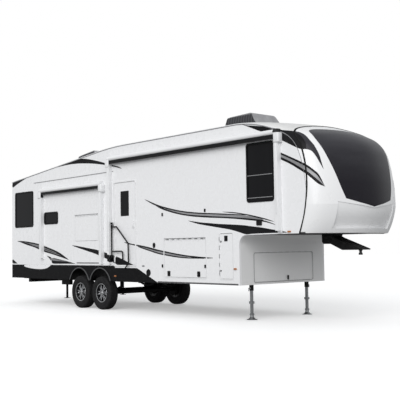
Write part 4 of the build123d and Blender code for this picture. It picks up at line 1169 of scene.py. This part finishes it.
# %% Helpers for plates, rings and turned pieces
TURNS = {"-Y": (math.pi / 2, 0, 0), "+Y": (-math.pi / 2, 0, 0), "+X": (0, math.pi / 2, 0),
         "-X": (0, -math.pi / 2, 0), "+Z": (0, 0, 0)}
OUTWARD = {-1: "-Y", 1: "+Y"}


def flat(low, high, look, corner=0.0, steps=5):
    """A flat sheet between two corners, looking along an axis, with rounded corners."""
    low, high = Vector(low), Vector(high)
    bpy.ops.mesh.primitive_plane_add(size=1, rotation=TURNS[look])
    piece = bpy.context.object
    settle(piece)
    piece.scale = [abs(part) if abs(part) > 1e-6 else 1 for part in high - low]
    piece.location = (low + high) / 2
    settle(piece)
    if corner:
        edit(piece, "SELECT")
        bpy.ops.mesh.bevel(offset=corner, segments=steps, affect="VERTICES")
        leave()
    return piece


def thicken(piece, thick, edge=0.0):
    """Give a sheet a thickness towards where it looks, and round its edges."""
    solid = piece.modifiers.new("thick", "SOLIDIFY")
    solid.thickness = thick
    solid.offset = 1
    if edge:
        rounding = piece.modifiers.new("round", "BEVEL")
        rounding.width = edge
        rounding.segments = 2
        rounding.limit_method = "ANGLE"
        rounding.angle_limit = math.radians(50)
    apply_all(piece)
    return piece


def ring(low, high, look, wide, corner, thick, edge):
    """A ring around an opening: a sheet whose middle is inset and taken out, then thickened."""
    piece = flat(low, high, look, corner)
    edit(piece, "SELECT")
    bpy.ops.mesh.inset(thickness=wide)
    bpy.ops.mesh.delete(type="FACE")
    leave()
    return thicken(piece, thick, edge)


def turned(outline, centre, axis, side=1, steps=32):
    """A turned piece: an outline of radius and length along the axis, spun about the axis."""
    bpy.ops.mesh.primitive_circle_add(vertices=len(outline), radius=1, fill_type="NOTHING")
    piece = bpy.context.object
    centre = Vector(centre)
    mesh = edit(piece)
    mesh.verts.ensure_lookup_table()
    for vert, (radius, along) in zip(mesh.verts, outline):
        far = along * side
        vert.co = centre + Vector({"X": (far, 0, radius), "Y": (radius, far, 0), "Z": (radius, 0, far)}[axis])
    bpy.ops.mesh.select_all(action="SELECT")
    line = {"X": (1, 0, 0), "Y": (0, 1, 0), "Z": (0, 0, 1)}[axis]
    bpy.ops.mesh.spin(steps=steps, angle=2 * math.pi, center=centre, axis=line)
    bpy.ops.mesh.select_all(action="SELECT")
    bpy.ops.mesh.remove_doubles(threshold=0.00003)
    bpy.ops.mesh.dissolve_degenerate(threshold=0.00001)
    bpy.ops.mesh.select_all(action="SELECT")
    bpy.ops.mesh.normals_make_consistent(inside=False)
    leave()
    return piece


def copies(piece, moves):
    """A piece with moved copies of it, joined as one."""
    made = [piece]
    for move in moves:
        made.append(twin_of(piece))
        made[-1].location += Vector(move)
    return join(made)


def islands(node):
    """The boxes of a node's loose parts, as pairs of corners, from the rear to the front."""
    mesh = nodes[node].data
    spots, parent, where = {}, [], []
    for vert in mesh.vertices:
        spot = tuple(round(part, 4) for part in vert.co)
        if spot not in spots:
            spots[spot] = len(parent)
            parent.append(len(parent))
        where.append(spots[spot])

    def root(i):
        while parent[i] != i:
            parent[i] = parent[parent[i]]
            i = parent[i]
        return i

    for edge in mesh.edges:
        parent[root(where[edge.vertices[0]])] = root(where[edge.vertices[1]])
    groups = {}
    for spot, i in spots.items():
        groups.setdefault(root(i), []).append(spot)
    boxes = [[Vector([end(spot[i] for spot in group) for i in range(3)]) for end in (min, max)]
             for group in groups.values()]
    return sorted(boxes, key=lambda box: (round(box[0].x, 3), box[0].y, box[0].z))


print("helpers for plates, rings and turned pieces are ready")

# %% [markdown]
# ## Tyres with a tread
#
# The frame's tyres are plain. A trailer tyre has a bead ring, a scuff rib on its side wall, a rounded shoulder
# and a ribbed tread. All of that is in one section, so the section is drawn once and spun about the axle. Every
# fourth row of the shoulder blocks is then sunk, which cuts the cross grooves. One tyre is made and copied to
# four wheels, and each copy stands for the frame's own tyre.

# %% Spin a tyre and cut its grooves
# Half section of the tyre, from the bead to the middle of the tread: distance across, radius
TYRE_HALF = ((0.0975, 0.216), (0.108, 0.235), (0.1150, 0.262), (0.1168, 0.280), (0.1172, 0.300),
             (0.1163, 0.325), (0.1145, 0.343), (0.1160, 0.346), (0.1135, 0.349), (0.1125, 0.352),
             (0.106, 0.368), (0.098, 0.3775), (0.080, 0.3822), (0.063, 0.3836), (0.0605, 0.3750),
             (0.0520, 0.3750), (0.0495, 0.3840), (0.0225, 0.3846), (0.0200, 0.3755), (0.0125, 0.3755),
             (0.0100, 0.3848), (0.0, 0.3849))
TYRE_STEPS = 168
GROOVE = 0.006
# Where the shoulder blocks lie: distance across from the middle of the tyre, and from its centre
SHOULDER = (0.064, 0.104)
SHOULDER_RADIUS = 0.372

tyre_low, tyre_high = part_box("tyre_curb_front")
hub = (tyre_low + tyre_high) / 2
section = [(radius, across) for across, radius in TYRE_HALF]
section += [(radius, -across) for radius, across in reversed(section[:-1])]
tyre = turned(section, hub, "Y", steps=TYRE_STEPS)


def in_groove(centre, _):
    """Whether a face lies on a shoulder block, in every fourth row."""
    spoke = math.atan2(centre.z - hub.z, centre.x - hub.x) / (2 * math.pi) * TYRE_STEPS
    beside = SHOULDER[0] < abs(centre.y - hub.y) < SHOULDER[1]
    return math.floor(spoke) % 4 == 0 and beside and (centre - hub).length > SHOULDER_RADIUS


edit(tyre)
sunk = pick_faces(tyre, in_groove)
bpy.ops.mesh.extrude_region_shrink_fatten(TRANSFORM_OT_shrink_fatten={"value": -GROOVE})
leave()
for wheel in WHEELS:
    low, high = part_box(f"tyre_{wheel}")
    twin = twin_of(tyre)
    twin.location = (low + high) / 2 - hub
    done(twin, f"tread_{wheel}", rubber, f"wheel_{wheel}", 40)
    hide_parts(f"tyre_{wheel}")
bpy.data.objects.remove(tyre)
print("tyres of", len(twin.data.polygons), "faces,", sunk, "faces sunk as grooves")

# %% [markdown]
# ## Wheel nuts, caps and lips
#
# Six hexagonal nuts hold each wheel inside the ring between hub and spokes, a domed cap closes the hub, and a
# machined lip runs around the rim. The nut is a six-sided bar with its ends chamfered; cap and lip are turned.

# %% Fit the wheels out
NUT_RADIUS = 0.0115
NUT_CIRCLE = 0.060
NUTS = 6
CAP = ((0.0, 0.0115), (0.018, 0.0105), (0.031, 0.0070), (0.0385, 0.0020), (0.0400, -0.004), (0.0, -0.004))
LIP = ((0.2000, -0.002), (0.2010, 0.0030), (0.2060, 0.0048), (0.2130, 0.0042), (0.2145, -0.002))
# How deep nuts, cap and lip sit behind the face of the rim
NUT_DEPTH, CAP_DEPTH, LIP_DEPTH = 0.027, 0.019, 0.001
for wheel in WHEELS:
    side = -1 if wheel.startswith("curb") else 1
    low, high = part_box(f"rim_{wheel}")
    face = max(abs(low.y), abs(high.y))
    x, z = (low.x + high.x) / 2, (low.z + high.z) / 2
    bpy.ops.mesh.primitive_cylinder_add(vertices=6, radius=NUT_RADIUS, depth=0.024, rotation=TURNS["-Y"],
                                        location=(x + NUT_CIRCLE, side * (face - NUT_DEPTH), z))
    nut = bpy.context.object
    settle(nut)
    edit(nut, "SELECT")
    bpy.ops.mesh.bevel(offset=0.0022, segments=2, affect="EDGES")
    leave()
    turns = [math.pi * 2 * k / NUTS for k in range(1, NUTS)]
    nuts = copies(nut, [(NUT_CIRCLE * (math.cos(a) - 1), 0, NUT_CIRCLE * math.sin(a)) for a in turns])
    cap = turned(CAP, (x, side * (face - CAP_DEPTH), z), "Y", side, 40)
    lip = turned(LIP, (x, side * (face - LIP_DEPTH), z), "Y", side, 96)
    done(join([nuts, cap, lip]), f"wheel_trim_{wheel}", chrome, f"wheel_{wheel}", 35)
print("nuts, caps and lips on", len(WHEELS), "wheels")

# %% [markdown]
# ## Seam bead, cap flange and roof edge
#
# The gasket between walls and cap shows as a black bead that swells out of the seam. It is the frame's own
# gasket, copied, welded and grown by a few millimetres. The dark flange along the foot of the cap is made in
# the same way from the lowest centimetres of the cap. The roof edge is a thin moulding that follows the top of
# each side wall: its line is the upper outline of the roof's own corners. A drip rail keeps the rain off the
# door and the windows of the living space.

# %% Bead, flange and roof edge


def grown(node, grow, cuts=()):
    """A welded copy of a node, cut by planes and grown along its normals."""
    piece = twin_of(nodes[node])
    edit(piece, "SELECT")
    bpy.ops.mesh.remove_doubles(threshold=0.0001)
    for point, normal in cuts:
        bpy.ops.mesh.select_all(action="SELECT")
        bpy.ops.mesh.bisect(plane_co=point, plane_no=normal, clear_outer=True)
    bpy.ops.mesh.select_all(action="SELECT")
    bpy.ops.mesh.normals_make_consistent(inside=False)
    bpy.ops.transform.shrink_fatten(value=grow)
    leave()
    return piece


bead = grown("cap_seal", 0.011)
done(bead, "seam_bead", seal_black, "trailer", 60)
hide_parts("cap_seal")
FLANGE_TOP = RAISED_BOTTOM + 0.022
FLANGE_END = at(10.45)
flange = grown("front_cap", 0.003, [((0, 0, FLANGE_TOP), (0, 0, 1)), ((FLANGE_END, 0, 0), (1, 0, 0))])
done(flange, "cap_flange", lip_grey, "trailer", 50)


def below(a, b, c):
    """Whether b lies on or below the line from a to c."""
    return (b[1] - a[1]) * (c[0] - a[0]) <= (c[1] - a[1]) * (b[0] - a[0])


def roof_line(side):
    """The upper outline of the roof's corners on one side, as X and height."""
    found = {}
    for vert in nodes["roof"].data.vertices:
        if abs(vert.co.y - side * SIDE) < 0.004:
            key = round(vert.co.x, 3)
            found[key] = max(found.get(key, 0.0), vert.co.z)
    line = []
    for point in sorted(found.items()):
        while len(line) > 1 and below(line[-2], line[-1], point):
            line.pop()
        line.append(point)
    return line


# The drip rail over the living space, on the curb side alone: station, lower edge, upper edge
DRIP_RAIL = ((1.18, 3.132, 3.148), (3.02, 3.137, 3.153), (4.76, 3.149, 3.165))
for word, side in SIDES:
    line = roof_line(side)
    rows = [(x - REAR, z - 0.030, z - 0.012) for x, z in line]
    edge = thicken(strip(rows, side * SIDE, 0), 0.006, 0.002)
    done(edge, f"roof_edge_{word}", rail_grey, "trailer")
    if side < 0:
        done(thicken(strip(DRIP_RAIL, -SIDE, 0), 0.008, 0.002), f"drip_rail_{word}", rail_grey, "trailer")
print("roof line of", len(line), "points")

# %% [markdown]
# ## Around the doors
#
# The entry door sits in a moulded frame. Each luggage flap has two paddle latches, a thin drip rail over its
# hinge and catches that hold it open. The small flap has one latch, and the kitchen's has none outside. A
# paddle latch is a rounded black plate with a sunk dish and a paddle in it. What sits on a door rides with it.

# %% Latches, drip rails and surrounds
LATCH = (0.088, 0.108)


def dished(middle, wide, high, side, corner, proud, rim, depth):
    """A plate with rounded corners on a side wall, whose face is sunk inside a rim."""
    middle, half = Vector(middle), Vector((wide / 2, 0, high / 2))
    plate = thicken(flat(middle - half, middle + half, OUTWARD[side], corner), proud)
    edit(plate)
    pick_faces(plate, lambda centre, normal: normal.y * side > 0.9)
    bpy.ops.mesh.inset(thickness=rim, depth=-depth)
    leave()
    return plate


def latch(x, z, side):
    """A paddle latch on a side wall or a flap."""
    y = side * SIDE
    wide, high = LATCH
    plate = dished((x, y, z), wide, high, side, 0.014, 0.008, 0.012, 0.0045)
    near, far = sorted((y + side * 0.0035, y + side * 0.009))
    low = (x - wide * 0.30, near, z - high * 0.30)
    return join([plate, block(low, (x + wide * 0.30, far, z + high * 0.22), 0.0018, 2)])


# Flaps: node, body, side, and station and height of each latch
BAGGAGE_LATCHES = ((6.735, 0.868), (7.674, 0.868))
FLAPS = (("baggage_door_curb", "baggage_flap_curb", -1, BAGGAGE_LATCHES),
         ("baggage_door_road", "baggage_flap_road", 1, BAGGAGE_LATCHES),
         ("utility_door", "utility_flap", -1, ((8.480, 1.560),)),
         ("kitchen_door", "kitchen_flap", -1, ()))
# The drip rail over a hinge: its foot and top above the leaf, and how proud. Then the surround around a leaf
DRIP_FOOT, DRIP_TOP, DRIP_PROUD = 0.022, 0.034, 0.014
MARGIN = 0.030

for node, body, side, spots in FLAPS:
    for k, (station, height) in enumerate(spots):
        done(latch(at(station), height, side), f"latch_{node}_{k + 1}", trim_black, body)
    y, (low, high) = side * SIDE, door_faces[node]
    if node != "utility_door":
        rail = flat((low.x, y, high.z + DRIP_FOOT), (high.x, y, high.z + DRIP_TOP), OUTWARD[side])
        done(thicken(rail, DRIP_PROUD, 0.003), f"drip_rail_{node}", rail_grey, "trailer")
    if node != "kitchen_door":
        trim = ring((low.x - MARGIN, y, low.z - 0.028), (high.x + MARGIN, y, high.z + MARGIN), OUTWARD[side],
                    0.022, 0.050, 0.003, 0.001)
        done(trim, f"surround_{node}", enamel, "trailer")
print("latches and surrounds of", len(FLAPS), "flaps")

# %% The entry door's frame and latch, and the collars of its rail
ENTRY_FRAME = 0.035
ENTRY_FRAME_PROUD = 0.012
# The fixed half of the hinge stands inside the frame, beside the door
HINGE_ROOM = 0.034
low, high = door_faces["entry_door"]
moulding = ring((low.x - HINGE_ROOM - ENTRY_FRAME, -SIDE, low.z - 0.006 - ENTRY_FRAME),
                (high.x + 0.008 + ENTRY_FRAME, -SIDE, high.z + 0.008 + ENTRY_FRAME), "-Y", ENTRY_FRAME, 0.055,
                ENTRY_FRAME_PROUD, 0.004)
done(moulding, "entry_frame", enamel, "trailer")
handle = block((at(5.503), -SIDE - 0.027, 1.853), (at(5.547), -SIDE + 0.001, 2.007), 0.006, 3)
thumb_plate = block((at(5.512), -SIDE - 0.034, 1.880), (at(5.538), -SIDE - 0.026, 1.950), 0.003, 2)
done(join([handle, thumb_plate]), "entry_latch", enamel, "entry")
low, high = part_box("rail_brackets")
RAIL_COLLAR = ((0.0, 0.0), (0.022, 0.0), (0.027, 0.004), (0.027, 0.044), (0.022, 0.048), (0.0, 0.048))
collar = turned(RAIL_COLLAR, ((low.x + high.x) / 2, low.y + 0.016, low.z + 0.022), "Z", 1, 28)
done(copies(collar, [(0, 0, high.z - low.z - 0.014)]), "rail_collars", trim_black, "rail")
print("entry door dressed")

# %% Catches, and the outline and latch of the front flap
# Catches: station and height, then half of width and height and how proud
CATCHES = ((6.528, 1.024), (7.875, 1.024), (6.539, 2.098), (7.886, 2.126))
CATCH = (0.020, 0.032, 0.016)
for word, side in SIDES:
    wide, high, proud = CATCH
    near, far = sorted((side * SIDE, side * (SIDE + proud)))
    catches = [block((at(s) - wide, near, z - high), (at(s) + wide, far, z + high), 0.004, 2)
               for s, z in CATCHES]
    done(join(catches), f"door_catches_{word}", trim_black, "trailer")
low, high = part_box("front_door")
plate = flat((high.x, 0.075, 0.735), (high.x, 0.115, 0.825), "+X", 0.012)
thicken(plate, 0.010, 0.002)
border = ring((high.x, low.y - 0.010, low.z - 0.010), (high.x, high.y + 0.010, high.z + 0.004), "+X", 0.009,
              0.040, 0.0015, 0.0)
done(border, "front_door_outline", rail_grey, "trailer")
done(plate, "front_door_latch", trim_black, "front_flap")
print(len(CATCHES), "catches on each side")

# %% [markdown]
# ## Ports, lamps and hatches on the curb side
#
# The services come in through small fittings: an oval hatch for the cable, a round vent for the heater low on
# the wall, a square lamp beside the bed, a small drain plate and two stops for the flap. Each is a plate with
# rounded corners whose face is sunk, except the round vent, which is turned.

# %% Ports and lamps
# Fittings: name, station, height, width, height of the plate, corner, how proud, finish
PORTS = (("cable_hatch", 6.244, 1.456, 0.082, 0.112, 0.040, 0.010, trim_black),
         ("bed_lamp_box", 9.384, 1.835, 0.130, 0.105, 0.012, 0.020, trim_black),
         ("drain_plate", 5.861, 1.017, 0.080, 0.028, 0.010, 0.010, rail_grey),
         ("flap_stop_high", 8.336, 1.504, 0.046, 0.030, 0.006, 0.010, rail_grey),
         ("flap_stop_low", 8.317, 0.943, 0.046, 0.030, 0.006, 0.010, trim_black))
HEATER = ((0.0, 0.003), (0.038, 0.004), (0.044, 0.012), (0.066, 0.014), (0.074, 0.006), (0.076, 0.0),
          (0.0, 0.0))

for name, station, height, wide, high, corner, proud, material in PORTS:
    middle, rim = (at(station), -SIDE, height), min(wide, high) * 0.12
    done(dished(middle, wide, high, -1, corner, proud, rim, proud * 0.35), name, material, "trailer")
heater = turned(HEATER, (at(6.038), -SIDE, 0.875), "Y", -1, 48)
done(heater, "heater_vent", trim_black, "trailer")
skirt_lamp = flat((at(4.776), -SIDE, 0.770), (at(4.856), -SIDE, 0.802), "-Y", 0.008)
done(thicken(skirt_lamp, 0.012, 0.003), "skirt_lamp", amber_lens, "trailer")
# A thin grey strip below the kitchen flap: partly a trim line, partly painted shade along the flap's lower
# edge.
sill_and_shade_strip = flat((at(3.22), -SIDE, 1.062), (at(4.26), -SIDE, 1.090), "-Y")
done(thicken(sill_and_shade_strip, 0.010, 0.003), "kitchen_sill_and_shade_strip", rail_grey, "trailer")
for word, side in SIDES:
    foot = flat((at(6.36), side * SIDE, 0.671), (at(8.80), side * SIDE, 0.701), OUTWARD[side])
    done(thicken(foot, 0.004, 0.001), f"foot_trim_{word}", lip_grey, "trailer")
print("ports and lamps are on")

# %% [markdown]
# ## Windows
#
# The tall bedroom windows open in their lower half, so a bar crosses each of them and a second thin rail runs
# along the bottom. The others have one fixed pane. Each pane also has a thin inner gasket.

# %% Window bars and gaskets
BAR = 0.014
BAR_HEIGHTS = (0.075, 0.49)
TALL = 1.0
FRAME_WIDE = 0.030

for node, body in (("window_frames", "trailer"), ("slide_frame", "slide_room")):
    for k, (low, high) in enumerate(islands(node)):
        on_rear = high.x - low.x < 0.1
        side = -1 if low.y < 0 else 1
        level = low.x if on_rear else (low.y if side < 0 else high.y)
        look = "-X" if on_rear else OUTWARD[side]
        through_wall, along_wall = (0, 1) if on_rear else (1, 0)
        inner_low, inner_high = low.copy(), high.copy()
        for i in (along_wall, 2):
            inner_low[i] += FRAME_WIDE
            inner_high[i] -= FRAME_WIDE
        inner_low[through_wall] = inner_high[through_wall] = level
        gasket = ring(inner_low, inner_high, look, 0.006, 0.030, 0.002, 0.0)
        done(gasket, f"gasket_{node}_{k + 1}", seal_black, body)
        if high.z - low.z > TALL:
            bars = [flat((inner_low.x, level, low.z + up), (inner_high.x, level, low.z + up + BAR), look)
                    for up in BAR_HEIGHTS]
            done(join([thicken(bar, 0.004, 0.001) for bar in bars]), f"bars_{node}_{k + 1}", rail_grey, body)
print("gaskets and bars are in")

# %% [markdown]
# ## Awnings and roof units
#
# Each awning arm folds flat: an inner rail nests in the outer one, a head holds the roll, and a small bracket
# holds its foot to the wall. The edge of the black cloth hangs below each roll as a valance with a round hem.
# The stripe in the middle of the body runs on over the foot of the third arm and over the door's moulding. The
# roof units stand on white pans, and the vents have smoked lids with a rounded rim.

# %% Arms and valances
# How far an arm's face lies behind its outermost point
ARM_FACE = 0.025
# How far the valance hangs below the high roll and below the low one, and the height that tells them apart
VALANCE_DROPS = (0.068, 0.052)
HIGH_ROLL = 3.2
VALANCE_AHEAD = 0.025
SCREW_HEAD = ((0.0, 0.006), (0.006, 0.006), (0.009, 0.002), (0.009, 0.0), (0.0, 0.0))

for k, (low, high) in enumerate(islands("awning_arms")):
    middle = (low.x + high.x) / 2
    face = low.y + ARM_FACE
    rail = block((middle - 0.020, face - 0.007, low.z + 0.30), (middle + 0.020, face + 0.001, high.z - 0.22),
                 0.003, 2)
    out = -0.050 if k % 2 == 0 else 0.050
    head = block((min(low.x, low.x + out), low.y + 0.002, high.z - 0.25),
                 (max(high.x, high.x + out), -SIDE, high.z - 0.071), 0.022, 4)
    foot = block((middle - 0.050, -SIDE - 0.030, low.z - 0.035), (middle + 0.050, -SIDE, low.z + 0.050),
                 0.006, 3)
    bolt = turned(SCREW_HEAD, (middle, face - 0.006, low.z + 0.34), "Y", -1, 12)
    bolts = copies(bolt, [(0, 0, high.z - low.z - 0.64)])
    done(join([rail, head, foot, bolts]), f"awning_arm_{k + 1}", enamel, "trailer")
for k, (low, high) in enumerate(islands("awning_rolls")):
    front = (low.y + high.y) / 2 - VALANCE_AHEAD
    drop = low.z - VALANCE_DROPS[0 if high.z > HIGH_ROLL else 1]
    start, end = low.x + 0.004, high.x - 0.004
    sheet = flat((start, front, drop), (end, front, low.z + 0.006), "-Y")
    edit(sheet, "SELECT")
    bpy.ops.mesh.subdivide(number_cuts=3)
    leave()
    thicken(sheet, 0.004)
    hem = block((start, front - 0.010, drop - 0.004), (end, front + 0.006, drop + 0.010), 0.005, 3)
    done(join([sheet, hem]), f"awning_valance_{k + 1}", trim_black, "trailer")
print("arms and valances are on")

# %% The stripe over the arm and the door's moulding


def span(name, start, end):
    """The rows of a stripe between two stations."""
    rows = next(entry[3] for entry in STRIPES if entry[0] == name)

    def between(station):
        i = next(i for i in range(len(rows) - 1) if rows[i + 1][0] >= station)
        share = (station - rows[i][0]) / (rows[i + 1][0] - rows[i][0])
        return tuple(a + (b - a) * share for a, b in zip(rows[i], rows[i + 1]))

    return [between(start), *[row for row in rows if start < row[0] < end], between(end)]


arm_low, arm_high = islands("awning_arms")[2]
arm_face = arm_low.y + ARM_FACE
rows = span("middle_wedge", arm_low.x - REAR, arm_high.x - REAR)
cuff = strip(rows, arm_face - VINYL, 0)
side_face = flat((arm_high.x + VINYL, arm_face, rows[-1][1]), (arm_high.x + VINYL, -SIDE, rows[-1][2]), "+X")
door_start = door_faces["entry_door"][0].x - REAR - HINGE_ROOM
rows = span("middle_wedge", door_start - ENTRY_FRAME, door_start)
over_frame = strip(rows, -SIDE - ENTRY_FRAME_PROUD - VINYL, 0)
done(join([cuff, side_face, over_frame]), "wedge_over_arm", graphic_black, "trailer")
print("stripe carried over the arm from station", round(arm_low.x - REAR, 2))

# %% Pans and lids on the roof
# The roof: where its slope ends, how steep it is, its height at the rear wall, and the flat part's height
SLOPE_END = 4.7
SLOPE = math.atan2(0.480, SLOPE_END)
ROOF_REAR = 3.250
ROOF_FLAT = 3.73
LID_HALF = 0.175

for node, name, material in (("air_conditioners", "pan", enamel), ("roof_vents", "lid", lid_smoke)):
    for k, (low, high) in enumerate(islands(node)):
        middle = (low.x + high.x) / 2
        tilt = SLOPE if middle < at(SLOPE_END) else 0.0
        if name == "pan":
            half = (high.x - low.x) / 2 - (0.02 if tilt else 0)
            level = ROOF_REAR + (middle - REAR) * math.tan(SLOPE) if tilt else ROOF_FLAT
            plate = block((-half, low.y - 0.02, -0.01), (half, high.y + 0.02, 0.022), 0.006, 3)
        else:
            level = high.z - (0.018 if tilt else 0.0) - 0.006
            plate = block((-LID_HALF, low.y, 0.0), (LID_HALF, high.y, 0.030), 0.012, 4)
        plate.location = (middle, 0, level)
        plate.rotation_euler = (0, -tilt, 0)
        done(plate, f"{name}_{k + 1}", material, "trailer")
print("pans and lids are on")

# %% [markdown]
# ## Legs, pin box and slide-out
#
# A spring pin locks each leg at the height of its holes and is pulled by a bent handle. The pin box is held
# to the frame by hexagonal bolts. The slide-out room closes against a black wiper, and its face carries a
# raised border. Each tail lamp sits in a bezel with two bars, and screws hold the top of the skirts.

# %% Pull pins on the legs and bolts on the pin box


def rod(first, last, radius):
    """A round bar between two points with softened ends."""
    first, last = Vector(first), Vector(last)
    length = (last - first).length
    bpy.ops.mesh.primitive_cylinder_add(vertices=20, radius=radius, depth=length, location=(first + last) / 2)
    bar = bpy.context.object
    bar.rotation_euler = (last - first).to_track_quat("Z", "Y").to_euler()
    settle(bar)
    edit(bar)
    pick_faces(bar, lambda centre, normal: abs(normal.dot((last - first).normalized())) > 0.9)
    bpy.ops.mesh.inset(thickness=radius * 0.35, depth=radius * 0.25)
    leave()
    return bar


PIN_HEIGHT = 0.600
COLLAR = ((0.0, 0.012), (0.014, 0.012), (0.018, 0.008), (0.018, 0.0), (0.0, 0.0))
for k, (low, high) in enumerate(islands("landing_legs")):
    side = -1 if low.y < 0 else 1
    x, y = (low.x + high.x) / 2, (low.y + high.y) / 2
    outer = y + side * 0.030
    pin = rod((x, outer - side * 0.004, PIN_HEIGHT), (x, outer + side * 0.050, PIN_HEIGHT), 0.008)
    end = outer + side * 0.046
    grip = rod((x, end, PIN_HEIGHT + 0.004), (x, end, PIN_HEIGHT - 0.055), 0.007)
    collar = turned(COLLAR, (x, outer, PIN_HEIGHT), "Y", side, 24)
    done(join([pin, grip, collar]), f"leg_pin_{k + 1}", rail_grey, "trailer")

BOLT = ((0.0, 0.010), (0.009, 0.010), (0.011, 0.007), (0.011, 0.003), (0.017, 0.002), (0.017, 0.0), (0.0, 0.0))
BOLT_HEIGHT = 1.575
BOLT_STEP = (0.075, 0.070)
low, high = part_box("pin_box")
for word, side in SIDES:
    bolt = turned(BOLT, (low.x + 0.045, side * high.y, BOLT_HEIGHT), "Y", side, 12)
    moves = [(BOLT_STEP[0] * i, 0, -BOLT_STEP[1] * j) for i in range(3) for j in range(2) if i or j]
    done(copies(bolt, moves), f"pin_bolts_{word}", frame_black, "trailer", 30)
print("pins and bolts are on")

# %% The slide-out's border and wiper
low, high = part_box("slide_wall")
border = ring((low.x, high.y, low.z), (high.x, high.y, high.z), "+Y", 0.060, 0.0, 0.006, 0.002)
done(border, "slide_border", enamel, "slide_room")
wiper = ring((low.x - 0.012, SIDE, low.z - 0.012), (high.x + 0.012, SIDE, high.z + 0.012), "+Y", 0.030, 0.0,
             0.005, 0.0015)
done(wiper, "slide_wiper", seal_black, "trailer")
print("border and wiper of the slide-out room are on")

# %% Lamp bezels and skirt screws
for k, (low, high) in enumerate(islands("tail_lamps")):
    bezel = ring((low.x, low.y - 0.010, low.z - 0.010), (low.x, high.y + 0.010, high.z + 0.010), "-X", 0.016,
                 0.020, 0.004, 0.001)
    bezel.location.x += 0.008
    bars = [block((low.x, low.y + 0.006, z - 0.004), (low.x + 0.002, high.y - 0.006, z + 0.004), 0.0015, 2)
            for z in (low.z + 0.135, low.z + 0.265)]
    done(join([bezel, *bars]), f"lamp_bezel_{k + 1}", trim_black, "trailer")
SCREW = ((0.0, 0.003), (0.004, 0.0027), (0.007, 0.0012), (0.008, 0.0), (0.0, 0.0))
SCREWS = 12
SCREW_STEP = 0.4
for word, side in SIDES:
    screw = turned(SCREW, (at(0.15), side * SIDE, 0.995), "Y", side, 12)
    moves = [(SCREW_STEP * i, 0, 0) for i in range(1, SCREWS)]
    done(copies(screw, moves), f"skirt_screws_{word}", lip_grey, "trailer")
print("bezels and", SCREWS, "screws on each side")
